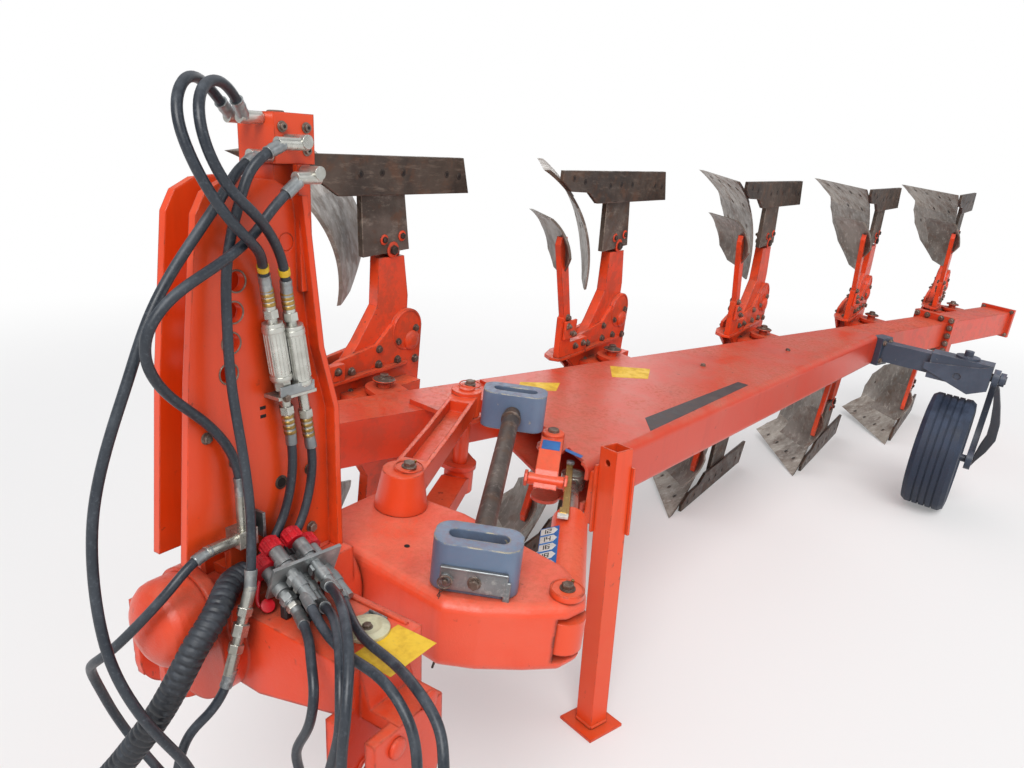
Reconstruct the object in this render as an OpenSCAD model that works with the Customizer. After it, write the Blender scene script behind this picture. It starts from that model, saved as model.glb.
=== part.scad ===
// Mounted reversible moldboard plough with five pairs of bodies, parked on its stand.
// +X is the direction of travel, +Y the plough's left, +Z up, millimetres throughout.

/* [Layout] */
// Angle between the beam and the direction of travel, which sets the width of each furrow
furrow_angle = 17; // [14:0.5:24]
// Roll of the turning frame about its beam, as it stands parked
parked_roll = 5.2; // [0:0.2:8]
// Distance between two neighbouring bodies along the beam
body_pitch = 1020; // [950:5:1080]
// Distance of the turnover shaft left of the first bodies' heels
shaft_y = 640; // [620:2:660]

/* [Beam] */
// Width of the main beam
beam_w = 160; // [140:2:180]
// Height of the main beam
beam_h = 140; // [120:2:160]
// Length of the main beam ahead of the first bodies' heels
beam_ahead = 740; // [700:5:760]
// Place of the bolted joint behind the first bodies' heels
beam_joint = 3180; // [3150:5:3210]
// Length of the bolted rear beam
rear_len = 890; // [860:5:960]
// Thickness of the bolted flanges
flange_t = 25; // [15:1:35]

/* [Diagonal brace] */
// Thickness of the folded plate of the brace
brace_t = 10; // [6:1:14]
// Width of the brace at its open front end, out from the beam
brace_w = 520; // [480:5:560]

/* [Headstock] */
// Height of the tower's side plates above the shaft
tower_h = 790; // [750:5:830]
// Gap between the tower's two side plates, which takes the end of the top link
tower_gap = 60; // [52:1:70]
// Thickness of the tower's side plates
tower_t = 16; // [12:1:24]
// Outer radius of the shaft's housing
housing_r = 98; // [90:1:110]
// Radius of the domed cap at the front of the housing
cap_r = 76; // [68:1:92]
// Radius of the turnover shaft
shaft_r = 60; // [45:1:70]
// Radial clearance of the turnover shaft in its housing
shaft_gap = 0.05; // [0.02:0.01:0.1]
// Distance from the shaft to the left lower link's outer cheek
link_left = 412; // [400:2:424]
// Distance from the shaft to the right lower link's outer cheek
link_right = 182; // [176:2:196]
// Gap between the two cheeks of a lower link
cheek_gap = 62; // [50:1:75]
// Thickness of the cheeks
cheek_t = 20; // [14:1:26]
// Radius of the bores for the lower link pins
link_pin_r = 18.5; // [14:0.1:22]
// Radius of the bores for the top link pin
top_bore_r = 16; // [12.7:0.1:18]

/* [Bodies] */
// Distance from the frame's middle plane to the points and landsides of the bodies
body_reach = 765; // [740:2:790]
// Width of one body's share across the direction of travel
share_w = 385; // [360:5:400]
// Thickness of the moldboards
board_t = 9; // [6:1:12]
// Radius of the cylinder round which the moldboards and shares are bent
board_r = 450; // [420:5:500]
// Height of the moldboards above the edge of the share
board_h = 440; // [410:5:460]
// Thickness of the landsides
landside_t = 14; // [10:1:18]
// Height of the landsides
landside_h = 121; // [100:1:135]
// Thickness of the legs
leg_t = 38; // [30:1:44]
// Radius of the pins on which the bodies turn
swing_pin_r = 20; // [14:1:26]

/* [Wheel] */
// Outer radius of the depth wheel's tyre
tyre_r = 285; // [260:5:300]
// Width of the depth wheel's tyre
tyre_w = 200; // [160:5:220]
// Depth of the grooves between the tyre's ribs
rib_depth = 7; // [3:1:10]

/* [Hoses] */
// Radius of the hydraulic hoses
hose_r = 8; // [6.5:0.5:8.5]

/* [Stand] */
// Width of the stand's square tube
stand_w = 60; // [50:1:70]
// Width of the stand's square foot plate
foot_w = 125; // [110:1:150]

/* [Hidden] */
$fn = 48;

paint = [0.85, 0.20, 0.07];
steel = [0.36, 0.33, 0.30];
grey = [0.25, 0.30, 0.38];
black = [0.06, 0.06, 0.07];
zinc = [0.75, 0.75, 0.72];
rubber = [0.09, 0.10, 0.11];

// Centre of the whole plough's box on the ground, which becomes the origin
centre_x = -1198.6;
centre_y = 602.5;

// Height of the frame's middle at its rolling axis, so that the share points touch the ground
tip_v = -256;
mid_h = body_reach * cos(parked_roll) - tip_v * sin(parked_roll);

// Frame coordinates: u runs back along the beam, v to the right of it and w up.
turn_z = 180 - furrow_angle;
beam_v = -330;
beam_v0 = beam_v - beam_w / 2;
beam_v1 = beam_v + beam_w / 2;
lug_t = 15;
pin_u = -370;
pin_v = beam_v1 + 56;
shaft_rear = 1150;
beam_x = 1280;
// The shaft lies in the frame's middle plane, so its front end points down a little.
shaft_z = mid_h - shaft_y * cos(furrow_angle) * tan(parked_roll);
shaft_pitch = atan(sin(furrow_angle) * tan(parked_roll));
turn_stop = asin(sin(parked_roll) * cos(furrow_angle));
joint_gap = 0.3;
carrier_h = 150;

module placed() {
  translate([-centre_x, -centre_y, 0]) children();
}

module in_frame() {
  translate([0, 0, mid_h]) rotate([0, 0, turn_z]) rotate([parked_roll, 0, 0]) children();
}

// X along the shaft and Z up, from the point abreast of the first body's heel
module head_axes() {
  placed() translate([0, shaft_y, shaft_z]) rotate([0, shaft_pitch, 0]) children();
}

// A block between two corners
module block(low, high) {
  translate(low) cube(high - low);
}

// A bar of length l along X from the origin
module rod_x(r, l) {
  rotate([0, 90, 0]) cylinder(r = r, h = l);
}

module rod_y(r, l) {
  rotate([-90, 0, 0]) cylinder(r = r, h = l);
}

module slab(points, t) {
  linear_extrude(t) polygon(points);
}

// Headstock

module cross_beam() color(paint) head_axes() difference() {
  union() {
    translate([shaft_rear + 10, 0, 0]) rod_x(housing_r, housing_front - shaft_rear - 10);
    translate([housing_front - 22, 0, cap_rise]) rod_x(cap_r + 6, 22);
    block([1180, -housing_r + 3, 0], [housing_front - 21, housing_r - 3, saddle_z]);
    link_bracket(link_left);
    mirror([0, 1, 0]) link_bracket(link_right);
  }
  translate([shaft_rear, 0, 0]) rod_x(shaft_r + shaft_gap, shaft_end - shaft_rear + 5);
  translate([link_x, -link_right - 100, link_z]) rod_y(link_pin_r, link_left + link_right + 200);
}

housing_front = 1478;
cap_rise = 66;
saddle_z = 100;
shaft_end = 1370;
arm_back = 1272;
arm_front = 1430;
arm_top = 78;
link_x = 1400;
link_z = -120;

// One arm of the cross beam, deeper at the housing, with the two cheeks for a lower link
module link_bracket(reach) {
  inner = reach - cheek_gap;
  outer = reach + cheek_t - 1;
  translate([arm_back, 0, 0]) rotate([90, 0, 90])
    slab([[0, -70], [min(inner, 120), -70], [inner, -8], [inner, arm_top], [0, arm_top]], arm_front - arm_back);
  translate([0, inner, 0]) cheek(arm_back);
  translate([0, reach + cheek_t, 0]) cheek(arm_back + 45);
  translate([arm_back + 45, 0, 0]) rotate([90, 0, 90])
    slab([[inner - 1, arm_top], [inner + 22, 12], [outer, 12], [outer, -12], [inner - 1, -12]], 100);
}

// One cheek of a lower link's clevis, whose outer face lies on Y = 0
module cheek(rear) {
  rotate([90, 0, 0]) linear_extrude(cheek_t) union() {
    polygon([[rear, 10], [arm_front + 40, 10], [link_x + 70, link_z + 20], [link_x + 66, link_z - 30],
             [link_x - 66, link_z - 30], [rear, link_z + 30]]);
    translate([link_x, link_z]) circle(r = 70);
  }
}

// Side view of one tower plate, X forward and Z up from the shaft
tower_front = [[1416, saddle_z], [1418, 176], [1500, 176], [1471, 480], [1438, tower_h - 54]];
tower_top = [[1420, tower_h - 22], [1385, tower_h - 4], [1341, tower_h], [1290, tower_h - 5]];
tower_rear = [[1244, tower_h - 29], [1217, 500], [1185, 380], [1184, saddle_z]];
head_front = 1287;
head_back = 1205;
head_z = tower_h + 20;
head_h = 80;

// The four places for the top link's pin lie in a row down the plates.
function top_bore(k) = [1374 + 8 * k, tower_h - 160 - 49 * k];

module tower() color(paint) head_axes() {
  web = tower_gap / 2 + 1;
  difference() {
    union() {
      for (side = [-1, 1]) translate([0, side * (tower_gap + tower_t) / 2, 0])
        rotate([90, 0, 0]) translate([0, 0, -tower_t / 2]) linear_extrude(tower_t)
          polygon(concat(tower_front, tower_top, tower_rear));
      for (side = [-1, 1]) tower_flange(side);
      block([1184, -web, saddle_z], [1400, web, saddle_z + 18]);
      block([1184, -web, saddle_z], [1202, web, 300]);
      block([head_back + 10, -web, tower_h - 60], [head_front - 7, web, head_z - joint_gap]);
      block([1226, web + tower_t - 2, 600], [1252, web + tower_t + 10, head_z - joint_gap]);
    }
    for (k = [0:3]) translate([top_bore(k).x, -200, top_bore(k).y]) rod_y(top_bore_r, 400);
    translate([cyl_top.x, -200, cyl_top.y]) rod_y(15, 400);
  }
}

// A flange stiffens the rear edge of each plate
module tower_flange(side) {
  mirror([0, side < 0 ? 1 : 0, 0]) rotate([90, 0, 0])
    translate([0, 0, -tower_gap / 2 - tower_t - 24])
    slab(concat(tower_rear, [[1196, saddle_z], [1197, 380], [1229, 500], [1256, tower_h - 29]]), 25);
}

module shaft_cap() color(paint) head_axes() translate([housing_front + joint_gap, 0, cap_rise])
  rotate([0, 90, 0]) rotate_extrude()
    polygon(concat([[0, 0], [cap_r, 0], [cap_r, 40]],
                   [for (a = [15:15:90]) [cap_r * cos(a), 40 + 46 * sin(a)]]));

module head_block() color(paint) head_axes() {
  half = tower_gap / 2 + tower_t;
  block([head_back, -half, head_z], [head_front, half, head_z + head_h]);
}

// The cylinder that turns the frame over stands between the tower's plates.
cyl_foot = [1236, saddle_z + 70];
cyl_top = [1272, tower_h - 105];
cyl_reach = norm(cyl_top - cyl_foot);
cyl_lean = atan2(cyl_top.x - cyl_foot.x, cyl_top.y - cyl_foot.y);

module turnover_cylinder() color(paint) head_axes() translate([cyl_foot.x, 0, cyl_foot.y]) {
  rotate([0, cyl_lean, 0]) {
    cylinder(r = 15, h = cyl_reach / 3);
    translate([0, 0, cyl_reach / 3 - 10]) cylinder(r = 26, h = cyl_reach * 2 / 3 - 10);
    translate([0, -tower_gap / 2 + 4, cyl_reach]) rod_y(26, tower_gap - 8);
    translate([0, -tower_gap / 2 - tower_t, cyl_reach]) rod_y(15 - joint_gap, tower_gap + 2 * tower_t);
  }
}

// The carrier on the shaft, which swings the whole frame over, is a casting with round edges.
carrier_edge = [[905, -70], [1125, -70], [1138, 290], [1105, 345], [1045, 415],
                [1000, 458], [966, 466], [945, 455], [905, 390], [880, 120]];
edge_r = 25;

module carrier() color(paint) difference() {
  head_axes() rotate([-turn_stop, 0, 0]) difference() {
    union() {
      translate([shaft_rear - 20, 0, 0]) rod_x(shaft_r, shaft_end - shaft_rear + 20);
      hull() for (p = carrier_edge, side = [-1, 1])
        translate([p.x, p.y, side * (carrier_h / 2 - edge_r)]) sphere(r = edge_r, $fn = 20);
    }
    translate([1005, 230, -100]) cylinder(r = 20, h = 200);
  }
  cylinder_axes() translate([0, 0, -50]) linear_extrude(100) union() {
    circle(r = 52);
    polygon([[0, -52], [450, -100], [450, 100], [0, 52]]);
  }
}

// Point on the frame's middle plane, from its place on the ground, in frame coordinates
function in_u(x, y) = -cos(furrow_angle) * x + sin(furrow_angle) * y;
function in_v(x, y) = -sin(furrow_angle) * x - cos(furrow_angle) * y;

boss_x = 945;
boss_u = in_u(boss_x, shaft_y);
boss_v = in_v(boss_x, shaft_y);
arm_u = -280;
arm_v = -510;
arm_len = norm([arm_u - boss_u, arm_v - boss_v]);
arm_turn = atan2(arm_v - boss_v, arm_u - boss_u);
arm_z = 80;
lug_z = beam_h / 2;

// A cast fork joins the carrier to the beam above and below
module link_arm() color(paint) placed() in_frame() for (side = [0, 1]) mirror([0, 0, side])
  translate([boss_u, boss_v, 0]) rotate([0, 0, arm_turn]) difference() {
    union() {
      translate([0, 0, carrier_h / 2 + joint_gap]) cylinder(r1 = 60, r2 = 46, h = 88);
      translate([arm_len, 0, lug_z + lug_t + joint_gap]) cylinder(r = 44, h = 160 - lug_z - lug_t);
      rotate([90, 0, 0]) translate([0, 0, -38])
        slab([[30, 90], [arm_len - 60, 96], [arm_len - 20, 110], [arm_len - 20, 150],
              [arm_len / 2, 145], [30, 150]], 76);
    }
    translate([90, -27, 118]) cube([arm_len - 170, 54, 80]);
  }

module arm_pins() color(zinc) placed() in_frame() {
  translate([boss_u, boss_v, 0]) cylinder(r = 22, h = 2 * 168, center = true);
  translate([arm_u, arm_v, 0]) cylinder(r = 22, h = 2 * 165, center = true);
  translate([cyl_u, cyl_v, 0]) cylinder(r = 22, h = carrier_h, center = true);
  translate([cyl_u, cyl_v, carrier_h / 2 + joint_gap]) cylinder(r = 34, h = 12);
}

// The width cylinder pushes between the carrier and the brace.
cyl_u = -612;
cyl_v = -1334;
eye_u = -150;
eye_v = -860;
cyl_len = norm([eye_u - cyl_u, eye_v - cyl_v]);
cyl_turn = atan2(eye_v - cyl_v, eye_u - cyl_u);

module cylinder_axes() {
  placed() in_frame() translate([cyl_u, cyl_v, 0]) rotate([0, 0, cyl_turn]) children();
}

module width_cylinder() color(paint) cylinder_axes() {
  difference() {
    union() {
      cylinder(r = 44, h = 70, center = true);
      translate([20, 0, 0]) rod_x(44, 400);
    }
    cylinder(r = 22.05, h = 200, center = true);
    translate([60, 0, 0]) rod_x(18.1, 400);
  }
}

module width_rod() color(zinc) cylinder_axes() {
  translate([150, 0, 0]) rod_x(18, cyl_len - 170);
  difference() {
    translate([cyl_len, 0, 0]) cylinder(r = 34, h = 40, center = true);
    translate([cyl_len, 0, 0]) cylinder(r = 24, h = 60, center = true);
  }
}

// The short link turns the bodies as the frame swings.
link_u = -182;
link_v = -791;

module short_link() color(paint) placed() in_frame() {
  translate([link_u, link_v, beam_h / 2 + brace_t + joint_gap]) {
    cylinder(r = 32, h = 36);
    rotate([0, 0, 225]) rotate([90, 0, 0]) translate([0, 0, -30])
      slab([[10, 4], [10, 34], [100, 30], [160, 0], [190, -40], [160, -50], [130, -16], [90, 0]], 60);
  }
}

// Turning frame

module main_beam() color(paint) placed() in_frame() {
  difference() {
    union() {
      block([-beam_ahead, beam_v0, -beam_h / 2], [beam_joint - flange_t, beam_v1, beam_h / 2]);
      block([beam_joint - flange_t, beam_v0 - 35, -beam_h / 2 - 35],
            [beam_joint, beam_v1 + 35, beam_h / 2 + 35]);
      for (i = [0:3]) translate([i * body_pitch, 0, 0]) swing_lugs();
      for (side = [0, 1]) mirror([0, 0, side]) translate([arm_u, arm_v, lug_z])
        linear_extrude(lug_t) union() {
          circle(r = 50);
          polygon([[-50, 0], [50, 0], [90, 160], [-90, 160]]);
        }
    }
    translate([arm_u, arm_v, -300]) cylinder(r = 22.05, h = 600);
    for (i = [0:3]) translate([i * body_pitch + pin_u, pin_v, -300])
      cylinder(r = swing_pin_r, h = 600);
  }
}

// Lugs above and below on the beam's right, which hold a body's swing pin
module swing_lugs() {
  for (side = [0, 1]) mirror([0, 0, side]) translate([pin_u, pin_v, beam_h / 2 - lug_t])
    linear_extrude(lug_t) union() {
      circle(r = 58);
      translate([-58, -55]) square([116, 55]);
    }
}

module rear_beam() color(paint) placed() in_frame() {
  difference() {
    union() {
      block([beam_joint + flange_t, beam_v0, -beam_h / 2],
            [beam_joint + rear_len, beam_v1, beam_h / 2]);
      block([beam_joint, beam_v0 - 35, -beam_h / 2 - 35],
            [beam_joint + flange_t, beam_v1 + 35, beam_h / 2 + 35]);
      block([beam_joint + rear_len, beam_v0 - 20, -beam_h / 2 - 20],
            [beam_joint + rear_len + flange_t, beam_v1 + 20, beam_h / 2 + 20]);
      translate([4 * body_pitch, 0, 0]) swing_lugs();
    }
    translate([4 * body_pitch + pin_u, pin_v, -300]) cylinder(r = swing_pin_r, h = 600);
  }
}

brace_u0 = -170;
brace_u1 = 2300;
brace_z = beam_h / 2 + brace_t;

edge_gap = 31;
brace_corner = [brace_u0, beam_v0 - brace_w, 0];
brace_edge = [[brace_corner.x, brace_corner.y], [brace_u1, beam_v0 - edge_gap]];
edge_turn = atan2(brace_w - edge_gap, brace_u1 - brace_u0);

module brace() color(paint) placed() in_frame() {
  for (side = [0, 1]) mirror([0, 0, side]) translate([0, 0, beam_h / 2 + joint_gap])
    linear_extrude(brace_t) union() {
      difference() {
        polygon(concat([[brace_u1, beam_v + 60], [brace_u0 + 120, beam_v + 60], [brace_u0 + 120, beam_v0]],
                       brace_edge));
        translate(brace_edge[0]) rotate(edge_turn) translate([-50, -50]) square([3000, 50 + fold_r]);
      }
      translate([link_u, link_v]) circle(r = 40);
      translate([link_u, link_v - 30]) square([100, 60]);
    }
  translate(brace_corner) rotate([0, 0, edge_turn]) difference() {
    rotate([90, 0, 90]) linear_extrude(norm(brace_edge[1] - brace_edge[0])) fold();
    block([-1, -1, -34], [32, fold_r + 1, 34]);
  }
}

fold_r = 26;

// Section of the brace's near wall, folded over to its top and bottom plates
module fold() {
  h = beam_h / 2 + brace_t + joint_gap;
  difference() {
    intersection() {
      translate([h, 0]) fold_outline(h, h, fold_r);
      translate([0, -h]) square([fold_r + 0.5, 2 * h]);
    }
    translate([h, 0]) fold_outline(h - brace_t, h - brace_t, fold_r - brace_t);
  }
}

// A rectangle of half sizes x and y with round corners
module fold_outline(x, y, r) {
  square([2 * x - 2 * r, 2 * y], center = true);
  square([2 * x, 2 * y - 2 * r], center = true);
  for (i = [-1, 1], k = [-1, 1]) translate([i * (x - r), k * (y - r)]) circle(r = r);
}

// Parking stand

stand_u = -126;
stand_v = -985;

module stand_axes() {
  translate([0, 0, mid_h]) rotate([0, 0, turn_z]) translate([stand_u, stand_v, -mid_h]) children();
}

module stand() color(paint) placed() stand_axes() {
  difference() {
    union() {
      translate([-stand_w / 2, -stand_w / 2, 8]) cube([stand_w, stand_w, 830]);
      translate([-foot_w / 2, -foot_w / 2, 0]) cube([foot_w, foot_w, 8]);
    }
    translate([-100, 0, 800]) rod_x(9, 200);
    translate([-stand_w / 2 + 5, -stand_w / 2 + 5, 20]) cube([stand_w - 10, stand_w - 10, 900]);
  }
}

module stand_socket() color(paint) placed() difference() {
  hold = stand_w / 2 + joint_gap;
  union() {
    stand_axes() translate([-hold - 8, -hold - 8, mid_h - 190])
      cube([2 * hold + 16, 2 * hold + 16, 190]);
    in_frame() translate(brace_corner) rotate([0, 0, edge_turn])
      block([10, -24, -90], [90, -joint_gap, 60]);
  }
  stand_axes() translate([-hold - 40, -hold - 40, 0]) cube([2 * hold + 40, 2 * hold + 40, mid_h + 200]);
}

// Depth wheel, upright to the frame, with the tyre's lower edge on the floor
wheel_u = 2449;
wheel_v = -818;
wheel_tilt = sin(turn_stop);
hub_z = tyre_r * cos(turn_stop) + (tyre_w / 2 - 25) * wheel_tilt;
hub_w = (hub_z - mid_h - wheel_v * sin(parked_roll)) / cos(parked_roll);
// The pivot of the wheel's arm lies in the frame's middle plane.
pivot_rise = -hub_w;
fork_side = tyre_w / 2 + 22;
fork_bow = 90;
fork_t = 28;

module wheel_axes() {
  placed() in_frame() translate([wheel_u, wheel_v, hub_w]) rotate([0, 0, -turn_z]) children();
}

// The wheel's arm turns on a pin that sits in the bracket, above the wheel's left side.
module wheel_bracket() color(grey) {
  placed() in_frame() {
    block([brace_u1 + joint_gap, beam_v0 - 60, -70], [brace_u1 + 100, beam_v0 - joint_gap, 70]);
    translate([brace_u1 + 60, beam_v0 - 50, 0]) rotate([0, 0, -73]) block([0, -38, -48], [250, 38, 48]);
  }
  wheel_axes() translate([0, 0, pivot_rise]) {
    block([-52, -150, -62], [52, fork_side - 6, 62]);
    translate([0, 0, 50]) cylinder(r = 52, h = 24);
    translate([0, 0, 60]) cylinder(r = 20, h = 40);
    translate([46, 0, 0]) rotate([90, 0, 90]) linear_extrude(14) difference() {
      polygon([[-170, 10], [60, 40], [fork_side - 8, 60], [fork_side - 8, -60], [40, -95], [-170, -20]]);
      translate([-20, -22]) circle(r = 17);
    }
    rod_y(20, fork_side + fork_t + 30);
    translate([0, fork_side + fork_t + 1 + joint_gap, 0]) rod_y(32, 24);
  }
}

module wheel_fork() color(grey) wheel_axes() {
  bow = norm([fork_bow, pivot_rise / 2]);
  difference() {
    translate([0, fork_side + fork_t, 0]) rotate([90, 0, 0]) linear_extrude(fork_t) union() {
      circle(r = 48);
      translate([0, pivot_rise]) circle(r = 42);
      translate([fork_bow, pivot_rise / 2]) intersection() {
        difference() {
          circle(r = bow + 34);
          circle(r = bow - 30);
        }
        translate([-bow - 40, -pivot_rise / 2]) square([bow + 40 - fork_bow, pivot_rise]);
      }
    }
    translate([0, fork_side - 5, pivot_rise]) rod_y(20.05, fork_t + 10);
  }
  translate([0, -75, 0]) rod_y(18, fork_side + 76);
}

module wheel_rim() color(black) wheel_axes() rotate([90, 0, 0]) rotate_extrude() {
  rim = tyre_r - 78 - joint_gap;
  polygon([[18.05, -70], [45, -70], [45, -12], [rim - 12, -12], [rim - 12, -tyre_w / 2 + 20],
           [rim, -tyre_w / 2 + 20], [rim, tyre_w / 2 - 20], [rim - 12, tyre_w / 2 - 20],
           [rim - 12, 12], [45, 12], [45, 70], [18.05, 70]]);
}

// The tyre has five ribs round its tread.
module tyre() color(black) wheel_axes() rotate([90, 0, 0]) rotate_extrude()
  polygon(concat(
    [[tyre_r - 78, -tyre_w / 2 + 20], [tyre_r - 50, -tyre_w / 2], [tyre_r - 15, -tyre_w / 2 + 5],
     [tyre_r, -tyre_w / 2 + 25]],
    [for (k = [-1.5:1:1.5], p = [[-4, 0], [-3, rib_depth], [3, rib_depth], [4, 0]])
      [tyre_r - p[1], k * (tyre_w - 50) / 5 + p[0]]],
    [[tyre_r, tyre_w / 2 - 25], [tyre_r - 15, tyre_w / 2 - 5],
     [tyre_r - 50, tyre_w / 2], [tyre_r - 78, tyre_w / 2 - 20]]));

// Loose hitch bar, which lies on the carrier
near_u = -745;
near_v = -1215;
far_u = -284;
far_v = -732;
bar_rise = 62;
bar_turn = atan2(far_v - near_v, far_u - near_u);
bar_len = norm([far_u - near_u, far_v - near_v]);

module hitch_axes() {
  placed() in_frame() translate([near_u, near_v, carrier_h / 2 + 50 + joint_gap]) rotate([0, 0, bar_turn]) children();
}

module hitch_bar() color(steel) hitch_axes() difference() {
  rotate([0, -atan(bar_rise / bar_len), 0]) rod_x(22, bar_len);
  block([-60, -60, -60], [block_l / 2 + joint_gap, 60, 60]);
  translate([bar_len, 0, 0]) block([-block_l / 2 - joint_gap, -60, -60], [90, 60, 120]);
}

block_l = 90;

// A heavy loop of plate at each end of the bar
module hitch_blocks() color(grey) hitch_axes()
  for (end = [0, 1]) translate([end * bar_len, 0, end * bar_rise - 50]) difference() {
    linear_extrude(100) loop_outline(block_l, 170, 34);
    translate([0, 0, -1]) linear_extrude(102) loop_outline(block_l - 56, 116, 16);
  }

// A rectangle of l by w with round corners
module loop_outline(l, w, r) {
  square([l - 2 * r, w], center = true);
  square([l, w - 2 * r], center = true);
  for (x = [-1, 1], y = [-1, 1]) translate([x * (l / 2 - r), y * (w / 2 - r)]) circle(r = r);
}

// Hydraulic lines, in the head's axes: fittings first, then the hoses between them

module block_elbows() color(zinc) head_axes() {
  half = tower_gap / 2 + tower_t;
  for (y = [-15, 15]) translate([head_front + joint_gap, y, head_z + 70]) rod_x(10, 42);
  translate([head_front + joint_gap, 35, head_z + 12]) rod_x(10, 42);
  translate([1262, half + joint_gap, head_z + 36]) rod_y(11, 50);
  translate([1255, 85, head_z + 32]) rod_x(10, 60);
  translate([1239, half + 11 + joint_gap, head_z - 12]) rod_y(11, 40);
  translate([1232, 85, head_z - 20]) rod_x(10, 50);
}

// One line of fittings from the end of a hose, of total length l, leaning by some degrees
module fitting_line(start, lean, l, body_r) {
  translate(start) rotate([0, lean + 180, 0]) {
    cylinder(r = 10, h = 38);
    translate([0, 0, 38]) linear_extrude(14) circle(r = 13, $fn = 6);
    cylinder(r = 9, h = l);
    translate([0, 0, 60]) cylinder(r = body_r, h = l - 160);
    translate([0, 0, l - 100]) linear_extrude(16) circle(r = 15, $fn = 6);
    translate([0, 0, l - 52]) linear_extrude(14) circle(r = 13, $fn = 6);
    translate([0, 0, l - 38]) cylinder(r = 10, h = 38);
  }
}

module valves() color(zinc) head_axes() {
  face = tower_gap / 2 + tower_t;
  fitting_line([1336, 70, 620], 8, 262, 17);
  fitting_line([1296, 70, 610], 8, 268, 19);
  block([1250, face, 428], [1332, 84, 434]);
}

module hose_joint() color(zinc) head_axes() translate([1438, 125, 147]) rotate([0, 160, 0]) {
  cylinder(r = 9, h = 150);
  cylinder(r = 10, h = 36);
  translate([0, 0, 36]) linear_extrude(14) circle(r = 13, $fn = 6);
  translate([0, 0, 64]) linear_extrude(20) circle(r = 14, $fn = 6);
  translate([0, 0, 98]) linear_extrude(14) circle(r = 13, $fn = 6);
  translate([0, 0, 112]) cylinder(r = 10, h = 38);
}

module branch_fitting() color(zinc) head_axes() {
  block([1388, tower_gap / 2 + tower_t, 190], [1424, 84, 220]);
  translate([1405, 68, 205]) cylinder(r = 10, h = 86);
  translate([1410, 70, 205]) rod_x(10, 70);
}

// The parked couplers hang in a plate on the cross beam, and their hoses leave to the left.
module coupler_rack() color(zinc) head_axes() {
  translate([1384, 90, 146]) rotate([0, 0, -8]) rotate([-24, 0, 0]) {
    for (p = [[0, 0], [-16, 30], [-46, 0], [-62, 30], [-92, 2]]) translate([p.x, 0, p.y]) {
      rod_y(13, 34);
      rod_y(10, 124);
      translate([0, 70, 0]) rod_y(12, 20);
    }
    block([-112, 46, -20], [20, 52, 50]);
  }
  block([1310, 130, arm_top], [1370, 139, 120]);
}

function unit(v) = v / norm(v);

// Point of a smooth curve at t between b and c, from four points of its route
function smooth_point(a, b, c, d, t) = (pow(1 - t, 3) * a + (3 * pow(t, 3) - 6 * t * t + 4) * b
  + (-3 * pow(t, 3) + 3 * t * t + 3 * t + 1) * c + pow(t, 3) * d) / 6;

// A smooth curve along a route, with two points for each step of the route
function smooth_path(p) = let (n = len(p) - 1, q = concat([2 * p[0] - p[1]], p, [2 * p[n] - p[n - 1]]))
  concat([for (i = [0:n - 1], t = [0, 0.5]) smooth_point(q[i], q[i + 1], q[i + 2], q[i + 3], t)], [p[n]]);

function directions(q) = [for (i = [0:len(q) - 1]) unit(q[min(i + 1, len(q) - 1)] - q[max(i - 1, 0)])];

// Side vectors square to the directions, each turned as little as can be from the last
function side_vectors(t, i, s) = i == len(t) ? [] :
  let (v = unit(s - (s * t[i]) * t[i])) concat([v], side_vectors(t, i + 1, v));

module hose(route, r) color(rubber) head_axes() {
  n = 8;
  q = smooth_path(route);
  t = directions(q);
  s = side_vectors(t, 0, abs(t[0].z) < 0.8 ? [0, 0, 1] : [0, 1, 0]);
  last = (len(q) - 1) * n;
  polyhedron(
    [for (i = [0:len(q) - 1], j = [0:n - 1])
      q[i] + r * (cos(360 * j / n) * s[i] + sin(360 * j / n) * cross(t[i], s[i]))],
    concat([[for (j = [0:n - 1]) j], [for (j = [n - 1:-1:0]) last + j]],
           [for (i = [0:len(q) - 2], j = [0:n - 1], half = [0, 1]) let (k = (j + 1) % n)
             half == 0 ? [i * n + j, (i + 1) * n + j, (i + 1) * n + k] : [i * n + j, (i + 1) * n + k, i * n + k]]));
}

bundle_r = 21;

hose_1_route = [
  [1320, -15, 880], [1350, -5, 905], [1395, 20, 930], [1440, 50, 930], [1475, 75, 900],
  [1485, 90, 860], [1475, 105, 810], [1455, 110, 770], [1435, 120, 735], [1405, 120, 705],
  [1365, 100, 680], [1345, 75, 650], [1335, 70, 610]
];
hose_2_route = [
  [1320, 15, 880], [1345, 30, 910], [1385, 50, 930], [1430, 75, 920], [1460, 100, 890],
  [1465, 115, 840], [1440, 120, 785], [1410, 125, 755], [1365, 110, 725], [1320, 90, 675],
  [1300, 75, 630], [1295, 70, 600]
];
hose_3_route = [
  [1305, 85, 840], [1345, 90, 825], [1370, 85, 800], [1385, 85, 765], [1400, 75, 710], [1415, 75, 645],
  [1420, 80, 570], [1425, 85, 485], [1420, 95, 395], [1415, 100, 320], [1415, 105, 250],
  [1430, 120, 195], [1440, 125, 140]
];
hose_4_route = [
  [1275, 85, 785], [1330, 85, 745], [1355, 80, 710], [1410, 100, 685], [1460, 110, 665],
  [1505, 110, 645], [1540, 105, 620], [1565, 95, 580], [1560, 85, 530], [1520, 70, 475],
  [1460, 65, 425], [1420, 65, 370], [1405, 65, 325], [1405, 70, 280]
];
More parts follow.
